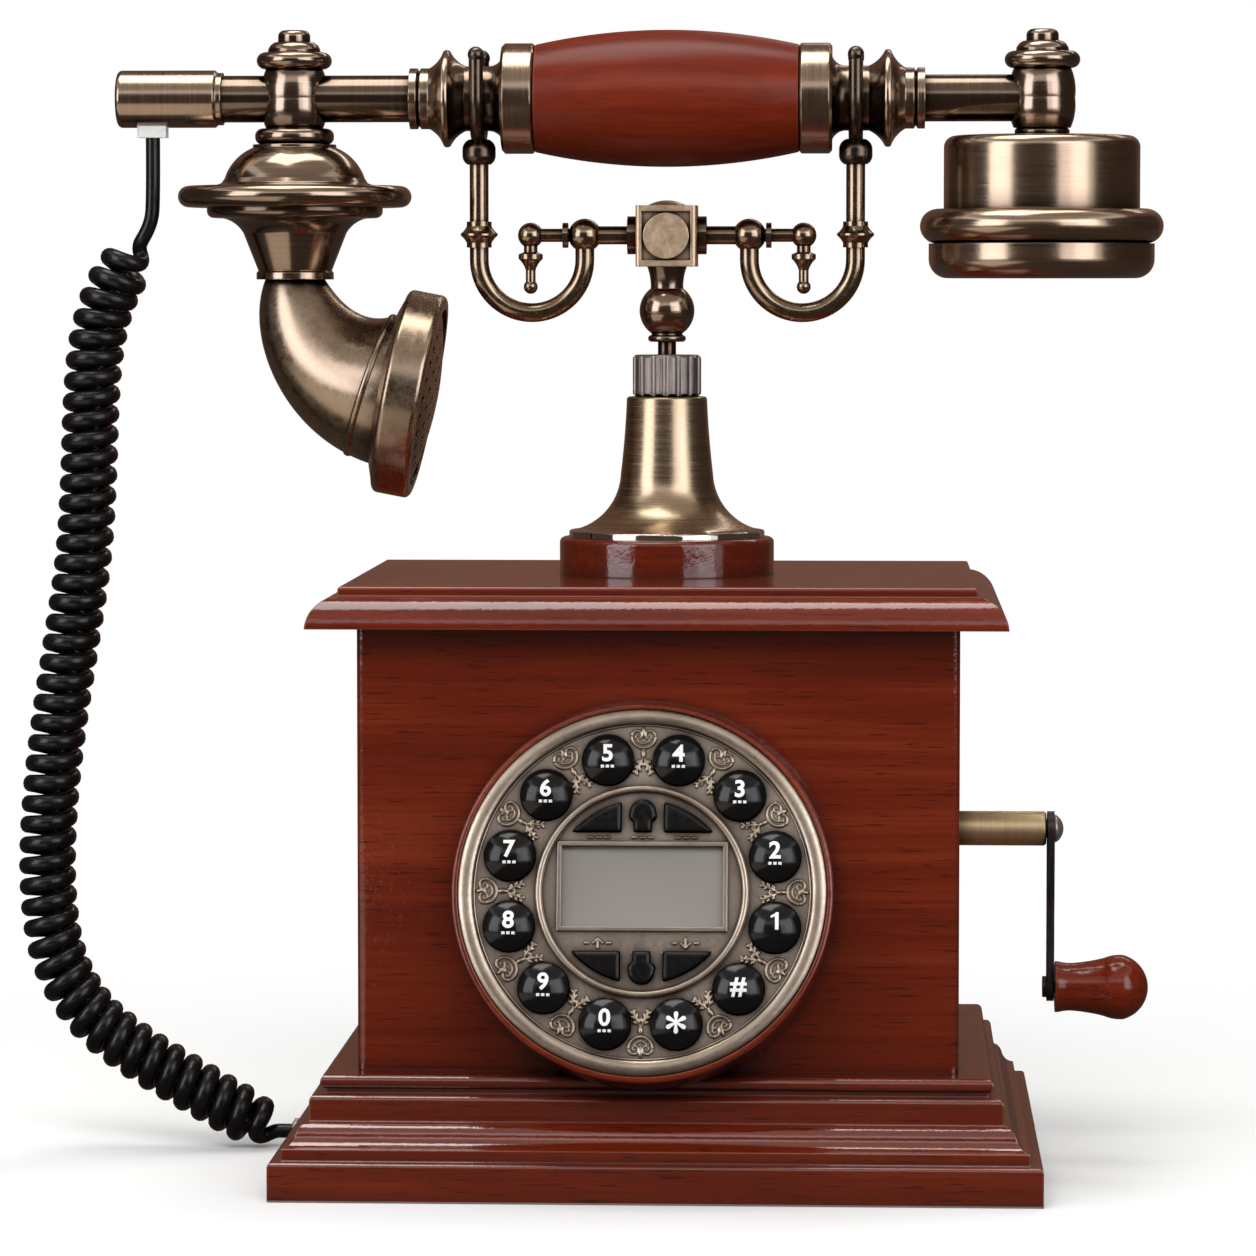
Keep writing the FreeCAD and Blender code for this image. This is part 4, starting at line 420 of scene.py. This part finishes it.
def dial_material(name, dark, light, depth=0.0018):
    """Dial metal with fine grain, with painted shade in its grooves and a painted highlight mixed with wear
    on its edges.
    """
    shader = Shader(name)
    cloud = shader.noise((90, 90, 90), detail=5)
    grain = shader.noise((1400, 1400, 1400), detail=2)
    colour = shader.ramp(cloud, [(0.35, dark), (0.65, light)])
    painted_shade, edge_wear_and_highlight = (0.030, 0.020, 0.013), (0.66, 0.57, 0.47)
    # Painted shade: darker in grooves and round raised parts, as far as depth reaches.
    colour = shader.mix(shader.hollow(depth, 0.5, 1.0), painted_shade, colour)
    # Painted highlight mixed with wear: the edges are made paler in colour.
    colour = shader.mix(shader.math("MULTIPLY", shader.edges(0.0005), 0.6), colour, edge_wear_and_highlight)
    shader.paint(colour, shader.grey(grain, 0.3, 0.7, 0.28, 0.42))
    shader.set(Metallic=1.0)
    shader.bump(grain, 0.00003, 0.5, rounding=0.0003)
    return shader.material


def plain_metal(name, dark, light, rough):
    """Bare steel or chrome with faint scratches and painted shade in its recesses."""
    shader = Shader(name)
    scratch = shader.noise((1800, 1800, 90), detail=3, roughness=0.7)
    colour = shader.ramp(scratch, [(0.35, dark), (0.65, light)])
    # Painted shade: darker in recesses.
    colour = shader.mix(shader.hollow(0.002, 0.35, 0.95), (0.05, 0.045, 0.04), colour)
    shader.paint(colour, shader.grey(scratch, 0.3, 0.7, rough, rough + 0.15))
    shader.set(Metallic=1.0)
    shader.bump(scratch, 0.00002, 0.4, rounding=0.0003)
    return shader.material


def plastic_material(name, dark, light, rough, coat=0.0, shine=0.5, rounding=0.0):
    """Moulded plastic with a faint skin texture."""
    shader = Shader(name)
    skin = shader.noise((900, 900, 900), detail=2)
    cloud = shader.noise((60, 60, 60), detail=3)
    colour = shader.ramp(cloud, [(0.3, dark), (0.7, light)])
    shader.paint(colour, shader.grey(skin, 0.3, 0.7, rough, rough + 0.12))
    shader.set(Coat_Weight=coat, Coat_Roughness=0.05, Specular_IOR_Level=shine)
    shader.bump(skin, 0.00002, 0.3, rounding=rounding)
    return shader.material


def clear_material():
    """Clear moulded plastic with a faint haze."""
    shader = Shader("clear_plastic")
    haze = shader.noise((300, 300, 300), detail=3)
    colour = shader.ramp(haze, [(0.3, (0.80, 0.79, 0.76)), (0.7, (0.93, 0.92, 0.90))])
    shader.paint(colour, shader.grey(haze, 0.3, 0.7, 0.12, 0.3))
    shader.set(Transmission_Weight=0.75, IOR=1.46)
    return shader.material


def display_material():
    """A grey liquid crystal face, a little uneven, with a faint grain."""
    shader = Shader("display_face")
    grain = shader.noise((2600, 2600, 2600), detail=1)
    cloud = shader.noise((25, 25, 25), detail=1)
    colour = shader.ramp(cloud, [(0.3, (0.205, 0.190, 0.166)), (0.7, (0.255, 0.234, 0.205))])
    colour = shader.mix(shader.grey(grain, 0.45, 0.6, 0.0, 0.12), colour, (0.19, 0.176, 0.15))
    shader.paint(colour, shader.grey(grain, 0.3, 0.7, 0.30, 0.42))
    shader.set(Coat_Weight=0.4, Coat_Roughness=0.2)
    return shader.material


def board_material():
    """Green circuit board with a copper trace pattern."""
    shader = Shader("circuit_board")
    traces = shader.add("ShaderNodeTexBrick")
    traces.inputs["Scale"].default_value = 1
    traces.inputs["Mortar Size"].default_value = 0.06
    traces.inputs["Color1"].default_value = (0.012, 0.09, 0.035, 1)
    traces.inputs["Color2"].default_value = (0.016, 0.11, 0.045, 1)
    traces.inputs["Mortar"].default_value = (0.04, 0.19, 0.08, 1)
    shader.link(shader.stretched((160, 160, 160)), traces.inputs["Vector"])
    shader.link(traces.outputs["Color"], shader.surface.inputs["Base Color"])
    shader.set(Roughness=0.45)
    return shader.material


# Dial ornaments, set out on the dial's own leaning face
DIAL_TILT = math.radians(14)
DIAL_PLACE = (-3.2 * MM, -77.612 * MM, 78.6 * MM)
DIAL = Matrix.Translation(DIAL_PLACE) @ Matrix.Rotation(math.pi / 2 - DIAL_TILT, 4, "X")
FACE = -0.5
KEY_CIRCLE = 34.5
KEY_STEP, FIRST_KEY = 30, -15
KEY_RADIUS = 6.3
KEY_SHOULDER = 0.8
KEY_DOME = 2.4
KEY_MARKS = ("1", "2", "3", "4", "5", "6", "7", "8", "9", "0", "*", "#")
KEY_NODES = ("1", "2", "3", "4", "5", "6", "7", "8", "9", "0", "star", "hash")
SHELL_CIRCLE = 39.3
SPRIG_CIRCLE = 36.2
DIAL_BEADS = ((44.4, 0.1, 1.85, 0.75), (42.3, -0.5, 0.35, 0.35), (26.0, 0.4, 0.75, 0.45))
RELIEF_FLATNESS = 0.9
STROKE = 0.4
COLUMN = 11
ARROW_LEVEL, BAR_LEVEL = -13.0, 13.7
BAR_STEP, HALF_BAR = 2.1, 0.7


def on_dial(x, y, z):
    """A point of the dial's face, from millimetres to the row frame."""
    return DIAL @ Vector((x * MM, y * MM, z * MM))


def dome_height(x, y):
    """The height of a key's domed top above the dial's face plane."""
    ball = (KEY_RADIUS ** 2 + KEY_DOME ** 2) / (2 * KEY_DOME)
    return KEY_SHOULDER + KEY_DOME - ball + math.sqrt(max(ball ** 2 - x * x - y * y, 0))


# Figures on the keys, laid on their domes
FIGURE_ONE = [(0, 0), (0.2, 0), (0.2, 1), (0.06, 1), (-0.03, 0.9), (-0.24, 0.8), (-0.24, 0.66), (0, 0.76)]
FIGURE_HEIGHT, FIGURE_RISE = 4.5, 1.4
SIGN_HEIGHTS, SIGN_RISE = {"*": 5.6, "#": 4.9}, 0.2
BOLD, STAR_BOLD = 0.028, 0.014
DASH = [(-0.42, -0.35), (0.42, -0.35), (0.42, 0.35), (-0.42, 0.35)]
DASH_HEIGHT, DASH_RISE, DASH_STEP = 0.7, -2.0, 1.25
FIGURE_CELL = 0.5
FIGURE_LIFT = 0.04


def text_shape(text):
    """A bold figure or a sign as flat faces."""
    curve = bpy.data.curves.new("figure", "FONT")
    curve.body = text
    curve.offset = STAR_BOLD if text == "*" else BOLD
    curve.resolution_u = 6
    letter = bpy.data.objects.new("figure", curve)
    scene.collection.objects.link(letter)
    bpy.context.view_layer.update()
    mesh = bpy.data.meshes.new_from_object(letter)
    bpy.data.objects.remove(letter)
    shape = bmesh.new()
    shape.from_mesh(mesh)
    bpy.data.meshes.remove(mesh)
    return shape


def polygon_shape(points):
    """A drawn outline as one flat face."""
    shape = bmesh.new()
    shape.faces.new([shape.verts.new((x, y, 0)) for x, y in points])
    shape.normal_update()
    return shape


def lay_on_key(shape, height, rise, middle, sideways=0.0):
    """Scale a flat shape to a height, cut it fine and lay it on the dome of the key at a place."""
    low = Vector([min(v.co[axis] for v in shape.verts) for axis in range(2)])
    high = Vector([max(v.co[axis] for v in shape.verts) for axis in range(2)])
    scale = height / (high - low).y
    for vert in shape.verts:
        vert.co = ((vert.co.xy - (low + high) / 2) * scale).to_3d()
    bmesh.ops.triangulate(shape, faces=shape.faces)
    for _ in range(3):
        longer = [edge for edge in shape.edges if edge.calc_length() > FIGURE_CELL]
        bmesh.ops.subdivide_edges(shape, edges=longer, cuts=1)
        bmesh.ops.triangulate(shape, faces=shape.faces)
    for vert in shape.verts:
        x, y = vert.co.x + sideways, vert.co.y + rise
        vert.co = on_dial(middle[0] + x, middle[1] + y, dome_height(x, y) + FIGURE_LIFT)
    verts = [vert.co.copy() for vert in shape.verts]
    shape.verts.index_update()
    faces = [tuple(vert.index for vert in face.verts) for face in shape.faces]
    shape.free()
    return verts, faces


def add_key_figures(material):
    """White figures on the round keys, with three small dashes under those that carry letters."""
    for index, (mark, node) in enumerate(zip(KEY_MARKS, KEY_NODES)):
        angle = math.radians(KEY_STEP * index + FIRST_KEY)
        middle = (KEY_CIRCLE * math.cos(angle), KEY_CIRCLE * math.sin(angle))
        shape = polygon_shape(FIGURE_ONE) if mark == "1" else text_shape(mark)
        rise = SIGN_RISE if mark in SIGN_HEIGHTS else FIGURE_RISE
        parts = [lay_on_key(shape, SIGN_HEIGHTS.get(mark, FIGURE_HEIGHT), rise, middle)]
        if mark in "234567890":
            for side in (-DASH_STEP, 0, DASH_STEP):
                parts.append(lay_on_key(polygon_shape(DASH), DASH_HEIGHT, DASH_RISE, middle, side))
        name = f"figure_{node}"
        new_object(name, merged_mesh(name, parts), f"key_{node}", material)


# Relief between the keys and beside the function keys


def scroll(x, y, size, hand, start):
    """A tapering spiral in the dial's face, as (x, y, radius) in millimetres."""
    points = []
    turns, tip, taper = 1.3, 0.2, 0.24
    for share in np.linspace(0, 1, 25):
        angle = start + hand * share * turns * 2 * math.pi
        reach = size * (1 - share) ** 0.8
        thick = tip + taper * (1 - share)
        points.append((x + reach * math.cos(angle), y + reach * math.sin(angle), thick))
    return points


def arch(x, y, wide, tall, start, end, thick):
    """Part of an oval in the dial's face, between two angles in degrees."""
    angles = np.radians(np.linspace(start, end, 21))
    return [(x + wide * math.cos(a), y + tall * math.sin(a), thick) for a in angles]


def leaf(x, y, way, long, wide):
    """A pointed leaf as (x, y, radius) along its rib, in millimetres, with its direction in degrees."""
    points = []
    tip = 0.05
    cos, sin = math.cos(math.radians(way)), math.sin(math.radians(way))
    for share in np.linspace(0, 1, 9):
        reach = long * share
        thick = tip + wide * math.sin(math.pi * share) ** 0.7
        points.append((x + cos * reach, y + sin * reach, thick))
    return points


def raised(points, turn, circle):
    """A flattened tube on the dial face, from a motif drawn upright at a radius and turned about the dial."""
    cos, sin = math.cos(turn), math.sin(turn)
    path, radii = [], []
    for x, y, radius in points:
        out, along = circle + y, x
        path.append((out * cos - along * sin, out * sin + along * cos, FACE))
        radii.append(radius)
    verts, faces = tube_parts(path, radii)
    return [on_dial(v.x, v.y, FACE + (v.z - FACE) * RELIEF_FLATNESS) for v in verts], faces


def add_filigree(material):
    """Between the keys, a scrolled shell near the rim and a leafy sprig that forks inward from it."""
    shell = [
        arch(0, 0, 3.0, 2.8, 178, 362, 0.42),
        arch(0, -0.2, 1.7, 1.5, 200, 340, 0.32),
        leaf(0, 2.7, -90, 3.2, 0.6),
    ]
    sprig = [leaf(0, 0.2, -90, 3.0, 0.6)]
    for hand in (1, -1):
        shell.append(scroll(hand * 1.5, 0.3, 1.5, hand, 0 if hand == 1 else math.pi))
        sprig.append(leaf(hand * 0.2, -2.2, -90 + hand * 24, 4.9, 0.55))
        for y, side, long in ((-2.9, 0.6, 1.8), (-4.2, 1.2, 1.8), (-5.5, 1.8, 1.5)):
            sprig.append(leaf(hand * side, y, -90 + hand * 68, long, 0.45))
            sprig.append(leaf(hand * side, y, -90 - hand * 14, long, 0.40))
    parts = []
    for index in range(len(KEY_NODES)):
        turn = math.radians(KEY_STEP * index)
        parts += [raised(points, turn, SHELL_CIRCLE) for points in shell]
        parts += [raised(points, turn, SPRIG_CIRCLE) for points in sprig]
    new_object("dial_filigree", merged_mesh("dial_filigree", parts), "cabinet", material)


def ring_parts(place, radius, wide, tall, steps=120):
    """A closed ring of oval section, by its half width and height, in a frame given as a matrix."""
    verts, faces = [], []
    for step in range(steps):
        along = 2 * math.pi * step / steps
        here, there = step * RING_SIDES, (step + 1) % steps * RING_SIDES
        for side in range(RING_SIDES):
            around = 2 * math.pi * side / RING_SIDES
            out = radius + wide * math.cos(around)
            spot = Vector((out * math.cos(along), out * math.sin(along), tall * math.sin(around)))
            verts.append(place @ (spot * MM))
            next_side = (side + 1) % RING_SIDES
            faces.append((here + side, there + side, there + next_side, here + next_side))
    return verts, faces


def add_dial_rings(material):
    """Bright beads on the dial's rim, in its groove and on the ring round the display."""
    parts = []
    for radius, height, wide, tall in DIAL_BEADS:
        parts.append(ring_parts(DIAL @ Matrix.Translation((0, 0, height * MM)), radius, wide, tall))
    new_object("dial_beads", merged_mesh("dial_beads", parts), "cabinet", material)


def add_dial_marks(material):
    """Raised arrows and dashed bars beside the function keys."""
    strokes = []
    y = ARROW_LEVEL
    for x, way in ((-COLUMN, 1), (COLUMN, -1)):
        tip = (x, y + way * 1.2)
        strokes.append([(x, y - way * 1.3), tip])
        for side in (-1, 1):
            strokes.append([(x + side * 1.3, y - way * 0.1), tip])
            strokes.append([(x + side * 2.2, y), (x + side * 3.4, y)])
    for column in (-COLUMN, 0, COLUMN):
        for x in (column - BAR_STEP, column, column + BAR_STEP):
            strokes.append([(x - HALF_BAR, BAR_LEVEL), (x + HALF_BAR, BAR_LEVEL)])
    parts = [flat_stroke(points) for points in strokes]
    new_object("dial_marks", merged_mesh("dial_marks", parts), "cabinet", material)


def flat_stroke(points):
    """A straight raised stroke on the dial's face."""
    verts, faces = tube_parts([(x, y, FACE) for x, y in points], [STROKE] * len(points))
    return [on_dial(v.x, v.y, v.z) for v in verts], faces


# Rounds on the handset: a dome on each post nut, and a ring round the horn near the mouthpiece
POST_REACH = 98.4
NUT_TOP = 291.4
NUT_DOME = (4.2, 2.8, 2.9)
HORN_BEND = 29.5
HORN_TOP = 231.8
HORN_RING_TURN = math.radians(71.1)
HORN_RING = (18.9, 0.9, 1.1)


def add_handset_rounds(nut_material, horn_material):
    """Rings of oval section that are seated in the nuts and round the horn."""
    domes = []
    for side in (-1, 1):
        place = Matrix.Translation(Vector((side * POST_REACH, 0, NUT_TOP)) * MM)
        domes.append(ring_parts(place, *NUT_DOME, steps=48))
    new_object("nut_domes", merged_mesh("nut_domes", domes), "handset", nut_material)
    out = HORN_BEND * (1 - math.cos(HORN_RING_TURN))
    down = HORN_BEND * math.sin(HORN_RING_TURN)
    place = Matrix.Translation(Vector((out - POST_REACH, 0, HORN_TOP - down)) * MM)
    ring = ring_parts(place @ Matrix.Rotation(math.pi - HORN_RING_TURN, 4, "Y"), *HORN_RING)
    new_object("horn_ring", merged_mesh("horn_ring", [ring]), "handset", horn_material)


# Spring inside the bell
SPRING_WIRE = 0.8
SPRING_RADIUS = 3.6
SPRING_LOW, SPRING_HIGH = 164.5, 190.9
SPRING_TURNS = 7


def add_spring(material):
    """The return spring as a wound wire that stretches between the cabinet and the cradle."""
    path = []
    steps = SPRING_TURNS * POINTS_PER_TURN
    for step in range(steps + 1):
        share = step / steps
        angle = 2 * math.pi * SPRING_TURNS * share
        height = SPRING_LOW + (SPRING_HIGH - SPRING_LOW) * share
        path.append((SPRING_RADIUS * math.cos(angle) * MM, SPRING_RADIUS * math.sin(angle) * MM, height * MM))
    mesh = merged_mesh("return_spring", [tube_parts(path, [SPRING_WIRE / 2 * MM] * len(path))])
    mesh.materials.append(material)
    spring = bpy.data.objects.new("return_spring", mesh)
    scene.collection.objects.link(spring)
    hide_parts("plunger_spring")
    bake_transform(spring)


# Materials of the CAD nodes
BELL_POLISH_TOP = 0.1662


def dress(material, *names):
    """Give CAD nodes a material and smooth shading."""
    for name in names:
        data = nodes[name].data
        data.materials.clear()
        data.materials.append(material)
        smooth(data, 35)


def dress_wood():
    """The wood of the cabinet, the dial's housing, the pedestal's disc, the crank's knob and the grip."""
    dress(wood_material("lacquered_wood", "xy"), "cabinet_box")
    dress(wood_material("plinth_wood", "xy", coat_ior=2.2), "base_plinth")
    dress(wood_material("lacquered_wood_flat", "x"), "lid", "dial_housing", "bottom_cover")
    dress(wood_material("disc_wood", "x", tint=0.75), "pedestal_disc")
    dress(wood_material("crank_wood", "x", tint=1.2, coat=0.6, polish=0.12), "crank_knob")
    dress(wood_material("grip_wood", "x", tint=1.12, coat=0.22, polish=0.3, pored=0.25), "grip")


def dress_brass():
    """The brass of the pedestal, the cradle and the handset; returns the turned and the cast brass."""
    # Painted light: the bright factor lightens or darkens the same brass part by part, to stand for how much
    # light each part catches.
    turned = brass_material("brass_turned", "z", rough=0.1)
    dress(turned, "mouth_post", "ear_post", "post_nuts", "mouth_bell", "cradle_stem")
    drum = brass_material("brass_drum", "z", bright=1.25, rough=0.14, brushed=0.12, gold=0.2)
    dress(drum, "ear_shell", "ear_cap")
    dress(brass_material("brass_bronze", "", bright=0.35, rough=0.2, rounding=0.0), "cradle_forks")
    bell = brass_material("brass_bell", "z", bright=1.4, rough=0.2, brushed=0.12, gold=0.45,
                          polished_below=BELL_POLISH_TOP)
    dress(bell, "pedestal_bell")
    across = brass_material("brass_across", "x", bright=1.2, rough=0.14, brushed=0.3)
    dress(across, "grip_ferrules", "cord_cap")
    # Painted shade: the tube's brass is darkened.
    dress(brass_material("brass_tube", "x", bright=0.62, rough=0.1), "handset_tube")
    # Painted light: the sleeve's brass is lightened.
    dress(brass_material("brass_sleeve", "x", bright=2.3, rough=0.38, gold=1.0), "crank_bush")
    cast = brass_material("brass_cast", "", bright=1.2, rough=0.2, brushed=0.05, gold=0.15)
    dress(cast, "mouth_elbow", "mouthpiece", "mouth_grille")
    # Painted light: the block's brass is lightened most.
    dress(brass_material("brass_block", "", bright=2.5, rough=0.38, gold=0.4), "cradle_post")
    dark = brass_material("brass_dark", "", bright=0.95, rough=0.12, brushed=0.05, gold=0.4, rounding=0.0)
    dress(dark, "cradle_hooks", "cradle_arms")
    return turned, cast


def dress_metal():
    """The metals of the crank, the dial and the collar; returns the collar's steel."""
    dress(plain_metal("crank_metal", (0.05, 0.045, 0.043), (0.11, 0.10, 0.095), 0.32), "crank_arm")
    # The plate's painted shade reaches farther, so the plate darkens round the keys and the relief.
    dress(dial_material("dial_metal", (0.38, 0.31, 0.26), (0.54, 0.46, 0.38), depth=0.0032), "dial_plate")
    steel = plain_metal("grey_steel", (0.30, 0.265, 0.24), (0.50, 0.45, 0.42), 0.35)
    dress(steel, "knurled_collar")
    dress(plain_metal("chrome_screw", (0.6, 0.59, 0.57), (0.9, 0.89, 0.87), 0.3), "crank_shaft")
    return steel


def dress_plastic():
    """The plastics of the keys, the sockets, the display and what lies inside."""
    black, jet = (0.003, 0.003, 0.003), (0.006, 0.006, 0.006)
    keys = plastic_material("key_plastic", black, jet, 0.10, coat=0.1, shine=0.35)
    dress(keys, *(f"key_{node}" for node in KEY_NODES))
    soft_keys = plastic_material("function_key_plastic", black, jet, 0.08, rounding=0.0014)
    for row in ("top", "bottom"):
        dress(soft_keys, *(f"{row}_{side}_key" for side in ("left", "middle", "right")))
    dark = plastic_material("black_plastic", (0.010, 0.010, 0.010), (0.020, 0.020, 0.020), 0.35)
    dress(dark, "line_jack", "cord_socket", "handset_capsules")
    dress(clear_material(), "cord_clamp", "cord_plug")
    dress(display_material(), "display")
    dress(board_material(), "keypad_board", "main_board")
    dress(plastic_material("foot_rubber", (0.015, 0.015, 0.015), (0.03, 0.03, 0.03), 0.7), "rubber_feet")


# Floor, background and lights
LIT_POINT = Vector((0, 0, 0.16))
COOL, WARM = (0.99, 0.97, 1.05), (1.01, 1.01, 0.97)
FLOOR_REACH = 3.0
FADE_START, FADE_END = 0.16, 0.42
FLOOR_WHITE, FLOOR_BOUNCE = 0.93, 0.15


def flat_object(name, corners, material_name):
    """An object of one face with a node material; returns the object and the material's tree."""
    mesh = bpy.data.meshes.new(name)
    mesh.from_pydata(corners, [], [(0, 1, 2, 3)])
    flat = bpy.data.objects.new(name, mesh)
    scene.collection.objects.link(flat)
    material = bpy.data.materials.new(material_name)
    material.use_nodes = True
    mesh.materials.append(material)
    return flat, material.node_tree


def white_where_seen(tree, path, camera, shade, white):
    """A white shader to reflections and to the given share of camera rays, and another one to other light."""
    seen = camera
    for name in ("Is Glossy Ray", "Is Transmission Ray"):
        either = tree.nodes.new("ShaderNodeMath")
        either.operation = "MAXIMUM"
        tree.links.new(seen, either.inputs[0])
        tree.links.new(path.outputs[name], either.inputs[1])
        seen = either.outputs[0]
    mix = tree.nodes.new("ShaderNodeMixShader")
    tree.links.new(seen, mix.inputs["Fac"])
    tree.links.new(shade.outputs[0], mix.inputs[1])
    tree.links.new(white.outputs[0], mix.inputs[2])
    return mix.outputs[0]


def add_world():
    """A dim pale sky that looks plain white."""
    world = bpy.data.worlds.new("studio")
    world.use_nodes = True
    scene.world = world
    tree = world.node_tree
    background = tree.nodes["Background"]
    background.inputs["Color"].default_value = (0.92, 0.95, 1.0, 1)
    background.inputs["Strength"].default_value = 0.18
    white = tree.nodes.new("ShaderNodeBackground")
    white.inputs["Color"].default_value = (1, 1, 1, 1)
    path = tree.nodes.new("ShaderNodeLightPath")
    shown = white_where_seen(tree, path, path.outputs["Is Camera Ray"], background, white)
    tree.links.new(shown, tree.nodes["World Output"].inputs["Surface"])


def add_floor():
    """A white floor that takes the shadow, fades to plain white farther out and throws little light back."""
    corners = [(x * FLOOR_REACH, y * FLOOR_REACH, 0) for x, y in ((-1, -1), (1, -1), (1, 1), (-1, 1))]
    floor, tree = flat_object("floor", corners, "floor_white")
    links = tree.links.new
    surface = tree.nodes["Principled BSDF"]
    surface.inputs["Roughness"].default_value = 0.6
    surface.inputs["Specular IOR Level"].default_value = 0.0
    path = tree.nodes.new("ShaderNodeLightPath")
    bounce = tree.nodes.new("ShaderNodeMapRange")
    bounce.inputs["To Min"].default_value = FLOOR_WHITE
    bounce.inputs["To Max"].default_value = FLOOR_BOUNCE
    links(path.outputs["Is Diffuse Ray"], bounce.inputs["Value"])
    links(bounce.outputs["Result"], surface.inputs["Base Color"])
    place = tree.nodes.new("ShaderNodeTexCoord")
    distance = tree.nodes.new("ShaderNodeVectorMath")
    distance.operation = "LENGTH"
    links(place.outputs["Object"], distance.inputs[0])
    fade = tree.nodes.new("ShaderNodeMapRange")
    fade.interpolation_type = "SMOOTHSTEP"
    fade.inputs["From Min"].default_value = FADE_START
    fade.inputs["From Max"].default_value = FADE_END
    links(distance.outputs["Value"], fade.inputs["Value"])
    far = tree.nodes.new("ShaderNodeMath")
    far.operation = "MULTIPLY"
    links(fade.outputs["Result"], far.inputs[0])
    links(path.outputs["Is Camera Ray"], far.inputs[1])
    white = tree.nodes.new("ShaderNodeEmission")
    shown = white_where_seen(tree, path, far.outputs[0], surface, white)
    links(shown, tree.nodes["Material Output"].inputs["Surface"])


def add_card(name, corners, colour):
    """A studio card of one colour that only shows as a reflection in glossy surfaces."""
    card, tree = flat_object(name, corners, name)
    glow = tree.nodes.new("ShaderNodeEmission")
    glow.inputs["Color"].default_value = (*colour, 1)
    tree.links.new(glow.outputs[0], tree.nodes["Material Output"].inputs["Surface"])
    for ray in ("camera", "diffuse", "transmission", "volume_scatter", "shadow"):
        setattr(card, f"visible_{ray}", False)


def add_level_card(name, left, right, near, far, height, colour):
    corners = [(left, near, height), (right, near, height), (right, far, height), (left, far, height)]
    add_card(name, corners, colour)


def add_upright_card(name, left, right, depth, top, colour):
    corners = [(left, depth, 0), (right, depth, 0), (right, depth, top), (left, depth, top)]
    add_card(name, corners, colour)


def add_cards():
    """Dark cards round the object, with gaps for the lights, a pale one above and, on the table, a glowing
    one that is a painted pool of light.
    """
    wide, front, middle, back = 1.5, -2.2, 0.25, 1.4
    tall, sky, low = 1.1, 1.7, 0.0005
    dark, dim, warm = (0.058, 0.042, 0.034), (0.072, 0.054, 0.044), (0.15, 0.085, 0.06)
    pale, lit = (0.42, 0.37, 0.33), (0.8, 0.7, 0.6)
    add_level_card("card_table", -wide, wide, front, back, low, dim)
    add_upright_card("card_front", -wide, wide, front, tall, dim)
    add_upright_card("card_back", -wide, wide, back, tall, warm)
    add_level_card("card_above", -wide, wide, middle, back, tall, warm)
    add_level_card("card_sky", -wide, wide, front, middle, sky, pale)
    for name, x in (("card_left", -1.0), ("card_right", 1.0)):
        add_card(name, [(x, -0.5, 0), (x, back, 0), (x, back, 0.9), (x, -0.5, 0.9)], dark)
    # Painted pool of light: a glowing patch on the table, seen only in reflections, that stands for the table
    # where the lamps light it.
    add_level_card("card_lit_table", -0.9, -0.145, -0.75, -0.12, 2 * low, lit)


def add_light(name, place, width, height, power, colour, mirrored=True):
    """A softbox that faces the object, and that glossy surfaces mirror or not."""
    data = bpy.data.lights.new(name, "AREA")
    data.shape = "RECTANGLE"
    data.size = width
    data.size_y = height
    data.energy = power
    data.color = colour
    light = bpy.data.objects.new(name, data)
    light.location = place
    light.rotation_euler = (LIT_POINT - Vector(place)).to_track_quat("-Z", "Y").to_euler()
    light.visible_glossy = mirrored
    scene.collection.objects.link(light)


def add_lights():
    """Two upright softboxes at the front's left and right, one above, one behind and a fill high in front."""
    add_light("left_softbox", (-1.22, -0.95, 0.62), 1.0, 1.15, 7.8, COOL)
    add_light("right_softbox", (0.95, -1.24, 0.62), 1.05, 1.15, 7.3, COOL)
    add_light("top_light", (-0.1, 0.1, 1.4), 1.1, 0.7, 10, WARM)
    add_light("rim_light", (0.4, 1.1, 1.2), 0.9, 0.4, 5, WARM)
    add_light("front_fill", (-0.05, -1.3, 1.05), 1.4, 0.8, 17, WARM, mirrored=False)


add_camera()
dress_wood()
turned_brass, cast_brass = dress_brass()
collar_steel = dress_metal()
dress_plastic()
add_cord(plastic_material("cord_plastic", (0.003, 0.003, 0.0035), (0.006, 0.006, 0.0065), 0.2, shine=0.4))
add_spring(collar_steel)
add_handset_rounds(turned_brass, cast_brass)
add_key_figures(plastic_material("figure_white", (0.78, 0.78, 0.76), (0.86, 0.86, 0.84), 0.4))
relief = dial_material("dial_relief", (0.42, 0.34, 0.245), (0.60, 0.50, 0.38))
add_filigree(relief)
add_dial_rings(dial_material("dial_rim", (0.46, 0.38, 0.30), (0.64, 0.54, 0.43)))
add_dial_marks(relief)
add_world()
add_floor()
add_cards()
add_lights()
